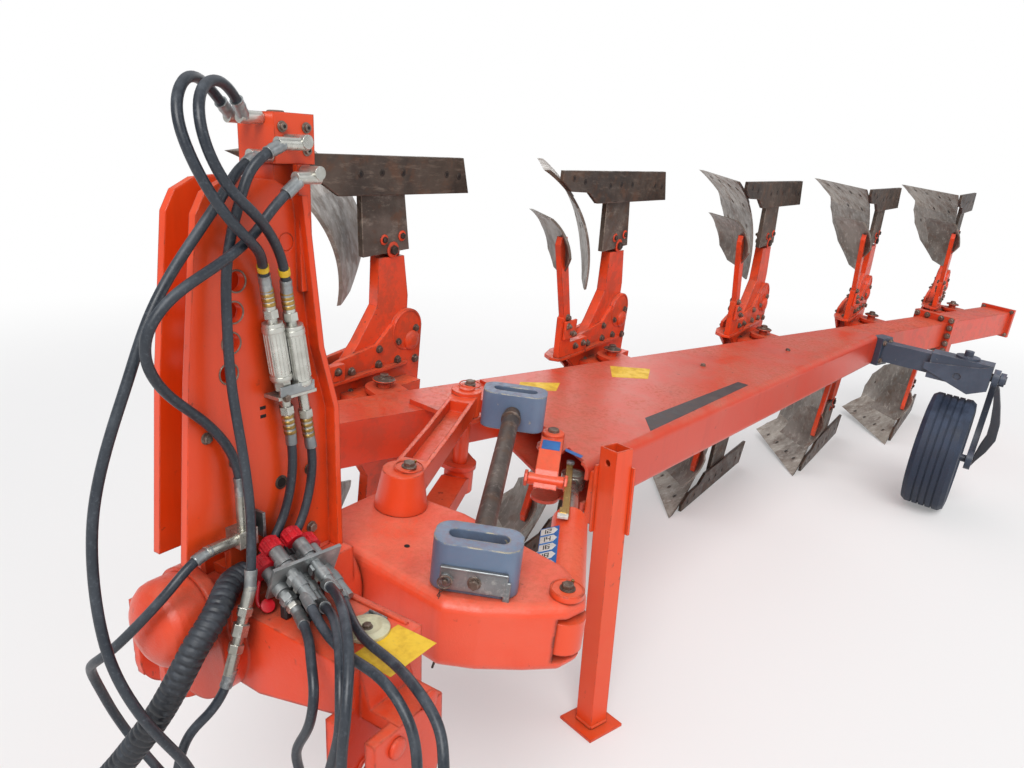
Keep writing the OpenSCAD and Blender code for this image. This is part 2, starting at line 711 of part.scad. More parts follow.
hose_5_route = [
  [1320, 40, 820], [1365, 55, 805], [1405, 70, 765], [1455, 70, 710], [1500, 60, 650], [1540, 60, 590],
  [1570, 55, 510], [1605, 50, 430], [1635, 40, 330], [1650, 50, 235], [1655, 65, 150], [1655, 90, 85],
  [1630, 110, 0], [1590, 115, -80], [1570, 115, -120], [1550, 120, -190], [1530, 130, -250],
  [1500, 165, -290], [1470, 205, -280], [1450, 240, -230], [1455, 260, -160], [1480, 260, -80],
  [1485, 305, -20], [1490, 325, 30], [1480, 320, 65], [1460, 290, 90], [1435, 260, 95],
  [1415, 225, 100], [1400, 195, 100]
];
hose_6_route = [
  [1470, 70, 205], [1500, 70, 200], [1530, 70, 180], [1550, 65, 160], [1575, 50, 130], [1595, 25, 95],
  [1610, -5, 60], [1620, -40, 30], [1610, -85, -5], [1585, -110, -70], [1560, -120, -150],
  [1535, -95, -225], [1515, -40, -285], [1500, 40, -335], [1490, 130, -355], [1480, 220, -340],
  [1480, 290, -275], [1480, 325, -170], [1490, 350, -80], [1500, 380, -10], [1500, 395, 40],
  [1490, 385, 85], [1465, 360, 115], [1430, 320, 130], [1395, 270, 130], [1370, 225, 110],
  [1355, 195, 100]
];
hose_7_route = [
  [1485, 125, 15], [1500, 125, -20], [1525, 115, -55], [1550, 90, -85], [1565, 75, -150],
  [1570, 65, -230], [1550, 80, -305], [1510, 140, -385], [1490, 230, -410], [1480, 330, -395],
  [1480, 420, -335], [1485, 485, -265], [1490, 515, -180], [1485, 525, -90], [1480, 520, -20],
  [1470, 515, 20], [1460, 500, 60], [1455, 475, 90], [1450, 440, 110], [1440, 395, 110],
  [1430, 335, 100], [1415, 265, 110], [1385, 195, 130]
];
hose_8_route = [
  [1300, 70, 370], [1295, 70, 310], [1300, 65, 250], [1320, 65, 200], [1350, 65, 160], [1380, 70, 145],
  [1412, 70, 145]
];
hose_9_route = [
  [1260, 70, 355], [1250, 70, 300], [1255, 65, 240], [1275, 65, 185], [1310, 65, 140], [1350, 65, 125],
  [1412, 70, 125]
];
hose_10_route = [
  [1675, -60, -310], [1675, -60, -350], [1670, -60, -400], [1650, -50, -450], [1605, 5, -480],
  [1550, 120, -495], [1515, 240, -490], [1510, 335, -450], [1515, 400, -340], [1510, 410, -240],
  [1510, 410, -150], [1515, 410, -60], [1515, 410, 10], [1510, 415, 65], [1495, 405, 105],
  [1460, 375, 140], [1425, 330, 160], [1390, 280, 160], [1360, 230, 145], [1340, 195, 130]
];
hose_11_route = [
  [1655, -60, -310], [1655, -60, -350], [1640, -80, -430], [1620, -70, -500], [1590, 10, -520],
  [1540, 140, -540], [1505, 300, -525], [1490, 430, -465], [1490, 530, -370], [1495, 575, -270],
  [1495, 585, -170], [1490, 580, -80], [1475, 565, 55], [1455, 545, 80], [1445, 520, 100],
  [1435, 480, 115], [1400, 415, 100], [1390, 360, 100], [1380, 310, 100], [1330, 230, 100],
  [1310, 195, 105]
];
hose_bundle_route = [
  [1405, 70, 135], [1440, 70, 135], [1480, 100, 120], [1510, 110, 100], [1535, 110, 80],
  [1560, 100, 30], [1585, 75, -35], [1610, 45, -90], [1630, 10, -145], [1655, -30, -200],
  [1665, -55, -260], [1665, -60, -320]
];

module hose_1() hose(hose_1_route, hose_r);
module hose_2() hose(hose_2_route, hose_r);
module hose_3() hose(hose_3_route, hose_r);
module hose_4() hose(hose_4_route, hose_r);
module hose_5() hose(hose_5_route, hose_r);
module hose_6() hose(hose_6_route, hose_r);
module hose_7() hose(hose_7_route, hose_r);
module hose_8() hose(hose_8_route, hose_r);
module hose_9() hose(hose_9_route, hose_r);
module hose_10() hose(hose_10_route, hose_r);
module hose_11() hose(hose_11_route, hose_r);
module hose_bundle() hose(hose_bundle_route, bundle_r);
// Bodies, drawn for the upper body with X forward, Y left and Z out from the frame's middle plane,
// from its swing pin

heel_x = -412;
tip_x = 507;
wing_x = -43;
land_y = -84;
land_back = land_y - landside_t - joint_gap;
base_z = brace_z + 6;
leg_top = 455;

module pair(i) {
  placed() in_frame() for (side = [0, 1]) mirror([0, 0, side])
    translate([(i - 1) * body_pitch + pin_u, pin_v, 0]) rotate([0, 0, -turn_z]) children();
}

// A plate that stands along the direction of travel, from its outline in X and Z and its left face
module upright(points, left, t) {
  translate([0, left, 0]) rotate([90, 0, 0]) slab(points, t);
}

module legs(i) color(paint) {
  placed() in_frame() translate([(i - 1) * body_pitch + pin_u, pin_v, 0]) {
    cylinder(r = swing_pin_r - shaft_gap, h = beam_h + 40, center = true);
    cylinder(r = 50, h = beam_h - 2 * lug_t - 1, center = true);
    rotate([0, 0, -turn_z]) block([-200, land_back - leg_t, -45], [100, -20, 45]);
  }
  pair(i) {
    upright([[-200, 40], [100, 40], [110, base_z], [20, 190], [-55, 300], [-50, leg_top],
             [-165, leg_top], [-196, 320], [-200, 200]], land_back, leg_t);
    leg_head();
    leg_bracket();
    translate([0, 0, base_z]) slab([[-190, -150], [-190, -75], [250, -52], [310, -58],
                                    [325, -90], [300, -128], [230, -150]], 12);
  }
}

// The leg's flat end, bolted to the frog
module leg_head() {
  translate([0, land_back - 20.3, 0]) rotate([90, 0, 0]) linear_extrude(leg_t - 20.3) union() {
    polygon([[-50, leg_top - 20], [-165, leg_top - 20], [-165, leg_top + 20], [-50, leg_top + 30]]);
    translate([-108, leg_top + 22]) circle(r = 52);
  }
}

// Two plates with an arched end hold the leg above the beam.
module leg_bracket() {
  for (left = [land_back + 13, land_back - leg_t + 1])
    translate([0, left, 0]) rotate([90, 0, 0]) linear_extrude(14) difference() {
      union() {
        polygon([[-262, 0], [100, 0], [186, 60], [192, base_z + 40], [110, base_z + 66], [-50, 175],
                 [-118, 232], [-262, 215]]);
        translate([-190, 205]) circle(r = 72);
      }
      translate([-215, 165]) circle(r = 22);
    }
}

module bottoms(i) color(steel) pair(i) {
  landside();
  board(share_edge(share_h), 12);
  board(board_edge(share_h + joint_gap), board_t);
}

// The landside slides along the furrow's wall, and the frog behind it takes the leg.
module landside() {
  z = body_reach;
  upright([[heel_x, z], [heel_x - 42, z - landside_h + 6], [140, z - landside_h + 6],
           [210, z - landside_h + 46], [330, z - 70], [400, z - 34], [400, z]], land_y, landside_t);
  upright([[-185, leg_top + 20], [20, leg_top + 8], [45, z - landside_h + 40], [-140, z - landside_h + 40]],
          land_y - landside_t + 1, 20);
}

// Axes of the share's edge: X from the point to the wing, Y back and Z in to the middle plane
edge_turn_b = atan2(-share_w, wing_x - tip_x);
edge_len = norm([share_w, wing_x - tip_x]);
edge_slope = 30;
share_h = 88;

function share_edge(h) = [[0, 0], [edge_len, 0], [edge_len + 12, 45], [edge_len - 10, h], [0, h]];
function board_edge(h) = [[0, h], [edge_len - 10, h], [edge_len + 70, 150], [edge_len + 90, 235],
  [edge_len + 10, 330], [470, board_h - 12], [360, board_h], [0, board_h]];

// A plate bent to the common curve of share and moldboard, from its outline seen from ahead
module board(outline, t) intersection() {
  translate([tip_x, land_back, body_reach]) rotate([0, 0, edge_turn_b]) rotate([180, 0, 0])
    intersection() {
      translate([-50, -board_r * sin(edge_slope), board_r * cos(edge_slope)]) difference() {
        rod_x(board_r + t, edge_len + 200);
        translate([-1, 0, 0]) rod_x(board_r, edge_len + 202);
      }
      translate([0, 330, 0]) rotate([90, 0, 0]) slab(outline, 430);
    }
  block([-700, -900, 0], [700, land_back, body_reach + 20]);
}

skim_r = 190;
skim_h = 200;
skim_tip = [455, -88, 610];

// A small board ahead of each body skims the turf, on a stem from the leg's bracket.
module skimmers(i) color(paint) pair(i) {
  stem_left = land_back + 13 + joint_gap + 24;
  upright([[110, base_z + 12.3], [310, base_z + 12.3], [318, 250], [290, 262], [256, 250], [240, 150], [110, 150]],
          stem_left, 24);
  upright([[262, 240], [306, 240], [402, 520], [395, 548], [362, 548]], stem_left, 22);
  translate(skim_tip) rotate([0, 0, -129]) rotate([180, 0, 0]) intersection() {
    translate([-20, -skim_r / 2, skim_r * cos(30)]) difference() {
      rod_x(skim_r + 8, 300);
      translate([-1, 0, 0]) rod_x(skim_r, 302);
    }
    translate([0, 140, 0]) rotate([90, 0, 0])
      slab([[0, 0], [225, 0], [250, 60], [236, 140], [150, 190], [60, skim_h], [0, 130]], 200);
  }
}

cross_beam();
tower();
shaft_cap();
head_block();
turnover_cylinder();
carrier();
link_arm();
arm_pins();
short_link();
width_cylinder();
width_rod();
main_beam();
brace();
rear_beam();
stand_socket();
stand();
wheel_bracket();
wheel_fork();
wheel_rim();
tyre();
hitch_bar();
hitch_blocks();
block_elbows();
valves();
hose_joint();
branch_fitting();
coupler_rack();
hose_1();
hose_2();
hose_3();
hose_4();
hose_5();
hose_6();
hose_7();
hose_8();
hose_9();
hose_10();
hose_11();
hose_bundle();
legs(1);  // legs_1
legs(2);  // legs_2
legs(3);  // legs_3
legs(4);  // legs_4
legs(5);  // legs_5
bottoms(1);  // bottoms_1
bottoms(2);  // bottoms_2
bottoms(3);  // bottoms_3
bottoms(4);  // bottoms_4
bottoms(5);  // bottoms_5
skimmers(1);  // skimmers_1
skimmers(2);  // skimmers_2
skimmers(3);  // skimmers_3
skimmers(4);  // skimmers_4
skimmers(5);  // skimmers_5
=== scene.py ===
# Dressing for the parked plough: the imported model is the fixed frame, and pieces are added on it.
# +X is the direction of travel, +Y the plough's left, +Z up. Axes are in metres, the forms in them in millimetres.
import math
from itertools import product

import bpy
from mathutils import Matrix, Vector
from mathutils.bvhtree import BVHTree


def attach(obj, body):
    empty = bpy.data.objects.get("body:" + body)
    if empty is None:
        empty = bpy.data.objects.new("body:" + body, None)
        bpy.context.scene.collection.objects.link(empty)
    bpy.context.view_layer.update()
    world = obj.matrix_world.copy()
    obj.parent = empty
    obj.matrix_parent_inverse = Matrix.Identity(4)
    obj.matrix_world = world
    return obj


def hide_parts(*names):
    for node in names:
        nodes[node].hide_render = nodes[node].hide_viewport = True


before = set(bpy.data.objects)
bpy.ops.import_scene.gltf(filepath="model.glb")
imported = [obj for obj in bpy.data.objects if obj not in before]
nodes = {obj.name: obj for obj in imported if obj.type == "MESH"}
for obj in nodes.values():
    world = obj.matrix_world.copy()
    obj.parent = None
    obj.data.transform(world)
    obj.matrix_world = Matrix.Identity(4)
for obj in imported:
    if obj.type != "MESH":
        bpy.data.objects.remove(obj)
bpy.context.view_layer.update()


def move(x, y, z):
    return Matrix.Translation(Vector((x, y, z)))


def spin(degrees, axis):
    return Matrix.Rotation(math.radians(degrees), 4, axis)


# Axes of the headstock and of the frame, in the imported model's frame
CENTRE = Vector((-1.1986, 0.6025, 0.0))
PITCH = 1.52416
TURN = 163.0
ROLL = 5.2
HEAD = Matrix.Translation(-CENTRE) @ move(0, 0.640, 0.729354) @ spin(PITCH, "Y")
FRAME = Matrix.Translation(-CENTRE) @ move(0, 0, 0.785054) @ spin(TURN, "Z") @ spin(ROLL, "X")
MIRROR = Matrix.Diagonal(Vector((1, 1, -1, 1)))
SPACING = 1.020
LEFT = Vector((0, 1, 0))
UP = Vector((0, 0, 1))


def pivot(i):
    """Where body i turns on the beam, in the frame's axes."""
    return Vector(((i - 1) * SPACING - 0.370, -0.194, 0))


def body_axes(i, side):
    """Axes of body i in the upper row (side 0) or in the lower row (side 1), along the direction of travel."""
    m = FRAME @ MIRROR if side else FRAME
    return m @ Matrix.Translation(pivot(i)) @ spin(-TURN, "Z")


def placed(name, data):
    obj = bpy.data.objects.new(name, data)
    bpy.context.scene.collection.objects.link(obj)
    return obj


# Camera, fitted to the photograph
camera_data = bpy.data.cameras.new("camera")
camera_data.sensor_width = 36.0
camera_data.lens = 27.565
camera = placed("camera", camera_data)
camera.matrix_world = Matrix((
    (-0.566571, -0.185034, 0.802970, 3.367388),
    (0.822101, -0.193279, 0.535531, 1.137200),
    (0.056106, 0.963538, 0.261623, 1.514993),
    (0, 0, 0, 1)))
bpy.context.scene.camera = camera


# Node materials
def rgba(colour):
    return colour if isinstance(colour, bpy.types.NodeSocket) else (*colour, 1.0)


class Shader:
    """Builds one node material, with its patterns in the object's own coordinates."""

    def __init__(self, name):
        self.mat = bpy.data.materials.new(name)
        self.mat.use_nodes = True
        self.tree = self.mat.node_tree
        self.bsdf = self.tree.nodes["Principled BSDF"]
        self.at = self.new("TexCoord").outputs["Object"]
        self.facing = self.new("NewGeometry").outputs["Normal"]

    def put(self, socket, value):
        if isinstance(value, bpy.types.NodeSocket):
            self.tree.links.new(value, socket)
        else:
            socket.default_value = value

    def fill(self, node, inputs):
        for key, value in inputs.items():
            self.put(node.inputs[key.replace("_", " ")], value)
        return node

    def new(self, kind, **inputs):
        return self.fill(self.tree.nodes.new("ShaderNode" + kind), inputs)

    def noise(self, scale, detail=4.0, rough=0.6, stretch=None, distort=0.0):
        at = self.at
        if stretch:
            at = self.new("Mapping", Vector=at, Scale=stretch).outputs["Vector"]
        return self.new("TexNoise", Vector=at, Scale=scale, Detail=detail, Roughness=rough,
                        Distortion=distort).outputs["Fac"]

    def ramp(self, value, low, high, a=0.0, b=1.0):
        n = self.new("MapRange", Value=value, From_Min=low, From_Max=high, To_Min=a, To_Max=b)
        n.interpolation_type = "SMOOTHSTEP"
        return n.outputs["Result"]

    def math(self, kind, a, b):
        n = self.new("Math")
        n.operation = kind
        self.put(n.inputs[0], a)
        self.put(n.inputs[1], b)
        return n.outputs[0]

    def times(self, a, b):
        return self.math("MULTIPLY", a, b)

    def mix(self, part, a, b):
        n = self.new("Mix")
        n.data_type = "RGBA"
        for k, value in ((0, part), (6, rgba(a)), (7, rgba(b))):
            self.put(n.inputs[k], value)
        return n.outputs[2]

    def up(self):
        return self.new("SeparateXYZ", Vector=self.facing).outputs["Z"]

    def soft_edge(self, radius):
        n = self.new("Bevel", Radius=radius)
        n.samples = 6
        return n.outputs["Normal"]

    def edges(self, normal, low=0.006, high=0.12):
        n = self.new("VectorMath")
        n.operation = "DOT_PRODUCT"
        self.put(n.inputs[0], normal)
        self.put(n.inputs[1], self.facing)
        return self.ramp(self.math("SUBTRACT", 1.0, n.outputs["Value"]), low, high)

    # Ambient occlusion of the point, used to paint shade into corners
    def corners(self, distance):
        n = self.new("AmbientOcclusion", Distance=distance)
        n.samples = 4
        return self.math("SUBTRACT", 1.0, n.outputs["AO"])

    def bump(self, height, strength, distance, **normal):
        return self.new("Bump", Height=height, Strength=strength, Distance=distance, **normal).outputs["Normal"]

    def finish(self, colour, rough, **more):
        self.fill(self.bsdf, dict(Base_Color=rgba(colour), Roughness=rough, **more))
        return self.mat


def srgb(colour):
    return tuple(c / 255 / 12.92 if c <= 10 else ((c / 255 + 0.055) / 1.055) ** 2.4 for c in colour)


DUST = srgb((168, 112, 88))
# GRIME_AND_SHADE is a dark brown for dirt and for painted shade in corners
GRIME_AND_SHADE = srgb((66, 42, 30))
SOIL = srgb((92, 70, 56))
RUST = srgb((104, 70, 48))
SCUFF = srgb((120, 100, 88))


def painted(name, colour, faded, dust=0.5, wear=0.5, grime_and_shade=0.7, soil=0.0, cast=0.0, gloss=0.36, edge=0.004,
            under=(74, 62, 55)):
    """Paint over steel: fading, dust on what faces up, dirt and painted shade in corners, chips and bare edges."""
    s = Shader(name)
    colour, faded = srgb(colour), srgb(faded)
    normal = s.soft_edge(edge)
    broad = s.noise(2.2, 5, 0.62, distort=0.4)
    cloudy = s.noise(9, 6, 0.65)
    fine = s.noise(70, 5, 0.7)
    streak = s.noise(7, 5, 0.7, stretch=(1, 1, 0.14))
    col = s.mix(s.ramp(broad, 0.42, 0.66), colour, s.mix(0.45, colour, faded))
    col = s.mix(s.times(s.ramp(s.up(), 0.35, 0.95), s.ramp(cloudy, 0.36, 0.66, 0.15, 0.85)), col, faded)
    col = s.mix(s.times(s.ramp(streak, 0.52, 0.75), 0.3), col, tuple(c * 0.55 for c in colour))
    dusty = s.times(s.ramp(s.up(), 0.2, 0.9, 0.12, 1.0), s.ramp(fine, 0.34, 0.72))
    dusty = s.times(dusty, s.ramp(broad, 0.3, 0.62, 0.2, 1.0))
    col = s.mix(s.times(dusty, dust), col, DUST)
    # Painted shade: darker brown where ambient occlusion finds corners and recesses, mixed with patchy dirt
    corner_shade = s.times(s.ramp(s.corners(0.07), 0.25, 0.85), s.ramp(cloudy, 0.3, 0.62))
    col = s.mix(s.times(corner_shade, grime_and_shade), col, GRIME_AND_SHADE)
    if soil:
        col = s.mix(s.times(s.ramp(s.noise(14, 6, 0.7), 0.44, 0.6), soil), col, SOIL)
    chips = s.times(s.ramp(s.noise(46, 3, 0.55), 0.66, 0.71), s.ramp(cloudy, 0.5, 0.62))
    worn = s.times(s.edges(normal), s.ramp(s.noise(30, 5, 0.7), 0.44, 0.62))
    bare = s.math("MINIMUM", s.math("ADD", s.times(worn, wear), s.times(chips, wear * 0.9)), 1.0)
    col = s.mix(bare, col, srgb(under))
    rough = s.math("ADD", s.ramp(dusty, 0.1, 0.9, gloss, gloss + 0.34), s.times(bare, 0.1))
    height = s.math("ADD", s.times(fine, 0.3 + cast), s.times(s.noise(320, 3, 0.6), 0.35 + cast))
    height = s.math("SUBTRACT", height, s.times(bare, 0.5))
    return s.finish(col, rough, Metallic=s.times(bare, 0.5), Coat_Weight=0.06, Coat_Roughness=0.25,
                    Normal=s.bump(height, 0.16 + 0.3 * cast, 0.0015, Normal=normal))


def bare_metal(name, colour, dark, light, rough=0.42, metal=0.8, grain=(1, 1, 1), rust=0.5, shine=0.5, edge=0.001):
    """Worn steel: stained and rusted patches, fine scratches along one way, bright edges, painted shade in corners.
    """
    s = Shader(name)
    dark, light = srgb(dark), srgb(light)
    normal = s.soft_edge(edge)
    broad = s.noise(3.4, 6, 0.65, distort=0.6)
    cloudy = s.noise(17, 6, 0.7)
    scratch = s.noise(60, 5, 0.75, stretch=grain)
    col = s.mix(s.ramp(broad, 0.36, 0.66), dark, srgb(colour))
    col = s.mix(s.times(s.ramp(scratch, 0.5, 0.72), 0.5), col, light)
    stain = s.times(s.ramp(cloudy, 0.5, 0.66), rust)
    col = s.mix(stain, col, RUST)
    bright = s.times(s.times(s.edges(normal, 0.004, 0.1), s.ramp(scratch, 0.34, 0.6)), shine)
    col = s.mix(bright, col, light)
    # Painted shade: the steel turns darker where ambient occlusion finds corners
    corner_shade = s.times(s.ramp(s.corners(0.04), 0.3, 0.9), 0.5)
    col = s.mix(corner_shade, col, tuple(c * 0.4 for c in dark))
    r = s.math("ADD", s.ramp(cloudy, 0.35, 0.7, rough - 0.07, rough + 0.2), s.times(bright, -0.12))
    height = s.math("ADD", s.times(scratch, 0.5), s.times(cloudy, 0.5))
    return s.finish(col, r, Metallic=s.math("SUBTRACT", metal, s.times(stain, metal * 0.8)),
                    Normal=s.bump(height, 0.22, 0.0015, Normal=normal))


def soft_black(name, colour, dust_colour, rough=0.42, dust=0.36, grain=220):
    """Rubber or black plastic with dust and a fine grain."""
    s = Shader(name)
    colour, dust_colour = srgb(colour), srgb(dust_colour)
    fine = s.noise(grain, 4, 0.6)
    broad = s.noise(11, 5, 0.65)
    amount = s.times(s.ramp(s.up(), -0.2, 0.9, 0.15, 1.0), s.ramp(broad, 0.38, 0.7))
    col = s.mix(s.times(amount, dust), colour, dust_colour)
    col = s.mix(s.times(s.ramp(fine, 0.5, 0.8), 0.25), col, dust_colour)
    return s.finish(col, s.ramp(broad, 0.3, 0.7, rough - 0.1, rough + 0.14), Normal=s.bump(fine, 0.12, 0.001))


def plain(name, colour, second, rough=0.5):
    """Small plates, caps and plastic: two tones, a little dust, light scuffs."""
    s = Shader(name)
    normal = s.soft_edge(0.0012)
    cloudy = s.noise(24, 5, 0.65)
    scuff = s.noise(150, 4, 0.7, stretch=(1, 0.3, 1))
    col = s.mix(s.ramp(cloudy, 0.4, 0.68), srgb(colour), srgb(second))
    col = s.mix(s.times(s.ramp(scuff, 0.56, 0.75), 0.25), col, SCUFF)
    return s.finish(col, s.ramp(cloudy, 0.3, 0.7, rough - 0.08, rough + 0.16),
                    Normal=s.bump(scuff, 0.1, 0.0008, Normal=normal))


MAT = {
    "tower": painted("paint_tower", (228, 66, 16), (228, 88, 42), dust=0.16, wear=0.45, gloss=0.3),
    "cast": painted("paint_cast", (224, 62, 20), (228, 104, 78), dust=0.28, cast=0.7, gloss=0.34, edge=0.009),
    "arm": painted("paint_arm", (226, 64, 18), (224, 92, 56), dust=0.22, wear=0.7, grime_and_shade=0.8, cast=0.25, gloss=0.34,
                   edge=0.005),
    "brace": painted("paint_brace", (206, 58, 26), (196, 92, 74), wear=0.45, grime_and_shade=0.5),
    "beam": painted("paint_beam", (212, 58, 24), (214, 92, 62), dust=0.36, wear=0.6, grime_and_shade=0.8, soil=0.2),
    "leg": painted("paint_leg", (228, 64, 18), (226, 88, 50), dust=0.24, wear=0.9, grime_and_shade=0.8, soil=0.3, cast=0.2,
                   edge=0.005),
    "skim": painted("paint_stem", (228, 64, 18), (226, 88, 50), dust=0.24, wear=0.8, soil=0.3),
    "stand": painted("paint_stand", (226, 66, 18), (222, 88, 44), dust=0.15, wear=0.6, grime_and_shade=0.6),
    "grey": painted("paint_grey", (84, 104, 130), (120, 138, 160), dust=0.3, wear=1.3, gloss=0.38, edge=0.006,
                    under=(178, 168, 140)),
    "wheel_grey": painted("paint_wheel_grey", (52, 62, 78), (86, 98, 116), dust=0.25, wear=0.8, gloss=0.4,
                          under=(120, 118, 116)),
    "rim": painted("paint_rim", (34, 38, 46), (62, 68, 78), dust=0.3, grime_and_shade=0.6, gloss=0.42),
    "bottom": bare_metal("steel_bottom", (104, 94, 86), (66, 57, 50), (168, 156, 142), rough=0.5, metal=0.35,
                         grain=(0.25, 1, 0.5), rust=0.55, shine=0.9, edge=0.005),
    "board": bare_metal("steel_board", (140, 131, 122), (98, 88, 79), (196, 188, 178), metal=0.3,
                        grain=(0.25, 1, 0.5), rust=0.4, shine=0.8, edge=0.0015),
    "share": bare_metal("steel_share", (158, 148, 136), (112, 98, 86), (214, 206, 196), rough=0.4, metal=0.3,
                        grain=(1, 0.3, 0.5), rust=0.4, shine=0.8, edge=0.0015),
    "landside": bare_metal("steel_landside", (92, 78, 68), (58, 48, 42), (142, 126, 112), metal=0.4,
                           grain=(0.2, 1, 1), shine=0.6, edge=0.005),
    "bar": bare_metal("steel_bar", (112, 100, 92), (70, 60, 56), (170, 156, 146), metal=0.6, grain=(1, 1, 0.4),
                      edge=0.003),
    "zinc": bare_metal("zinc", (206, 206, 198), (156, 154, 144), (236, 235, 228), rough=0.3, metal=0.85, rust=0.12,
                       edge=0.0015),
    "bolt": bare_metal("bolt_steel", (136, 120, 108), (84, 68, 60), (190, 178, 166), metal=0.6),
    "dark_bolt": bare_metal("dark_bolt", (66, 56, 50), (40, 34, 31), (120, 108, 98), rough=0.5, metal=0.5),
    "galvanised": bare_metal("galvanised", (164, 168, 168), (124, 128, 130), (212, 214, 210), rough=0.38, rust=0.1),
    "brass": bare_metal("brass_zinc", (176, 142, 76), (124, 96, 52), (226, 200, 138), rough=0.34, rust=0.15),
    "hose": soft_black("hose_rubber", (36, 42, 50), (122, 130, 138)),
    "wrap": soft_black("spiral_wrap", (24, 26, 31), (96, 104, 114), dust=0.3, grain=120),
    "tyre": soft_black("tyre_rubber", (28, 38, 56), (78, 92, 116), rough=0.62, grain=160),
    "red_cap": plain("red_plastic", (196, 22, 36), (168, 16, 30), 0.4),
    "black_plastic": plain("black_plastic", (26, 26, 28), (44, 44, 46)),
    "yellow": plain("yellow_plate", (232, 190, 44), (206, 160, 40)),
    "blue": plain("blue_plate", (26, 92, 158), (46, 112, 176), 0.45),
    "white": plain("white_plate", (206, 204, 198), (176, 172, 166)),
    "cream": plain("cream_disc", (204, 200, 168), (170, 164, 136)),
    "strip": plain("grey_strip", (62, 56, 58), (86, 74, 72)),
    "yellow_ring": plain("yellow_ring", (226, 184, 40), (198, 156, 36), 0.45),
    "blue_ring": plain("blue_ring", (28, 70, 170), (36, 84, 180), 0.4),
    # Near-black for painted shade in holes, sockets, recesses and slots, and for the printed digits of the scale
    "shade": plain("painted_shade_and_print", (22, 16, 14), (34, 24, 20), 0.8),
}


# Mesh building
def side_of(axis):
    axis = axis.normalized()
    other = Vector((0, 0, 1)) if abs(axis.z) < 0.9 else Vector((1, 0, 0))
    s = (other - axis * other.dot(axis)).normalized()
    return s, axis.cross(s)


def around(axis, n):
    """Directions square to the axis, evenly round it."""
    s, t = side_of(axis)
    return [s * math.cos(2 * math.pi * k / n) + t * math.sin(2 * math.pi * k / n) for k in range(n)]


def strips(rows, n, closed=False):
    """Faces between rows of n points, with a cap on each end unless the rows close on themselves."""
    fs = []
    for i in range(rows if closed else rows - 1):
        for j in range(n):
            k, o = (j + 1) % n, (i + 1) % rows
            fs.append((i * n + j, i * n + k, o * n + k, o * n + j))
    if not closed:
        fs.append(tuple(range(n - 1, -1, -1)))
        fs.append(tuple((rows - 1) * n + j for j in range(n)))
    return fs


def block_faces(pts):
    """Faces of the broken-edge block whose 24 corners come in threes, one per axis, corner by corner."""
    def at(c, k):
        return (c[0] * 4 + c[1] * 2 + c[2]) * 3 + k

    def outward(face, out):
        n = (pts[face[1]] - pts[face[0]]).cross(pts[face[-1]] - pts[face[0]])
        return face if n.dot(Vector(out)) > 0 else face[::-1]

    fs = []
    for k in range(3):
        a, b = [j for j in range(3) if j != k]
        for s in (0, 1):
            ring, out = [], [0, 0, 0]
            for u, w in ((0, 0), (1, 0), (1, 1), (0, 1)):
                c = [0, 0, 0]
                c[k], c[a], c[b] = s, u, w
                ring.append(at(c, k))
            out[k] = 2 * s - 1
            fs.append(outward(tuple(ring), out))
        for u, w in product((0, 1), repeat=2):
            c, out = [0, 0, 0], [0, 0, 0]
            c[a], c[b] = u, w
            d = list(c)
            d[k] = 1
            out[a], out[b] = 2 * u - 1, 2 * w - 1
            fs.append(outward((at(c, a), at(d, a), at(d, b), at(c, b)), out))
    for c in product((0, 1), repeat=3):
        fs.append(outward(tuple(at(c, k) for k in range(3)), [2 * j - 1 for j in c]))
    return fs


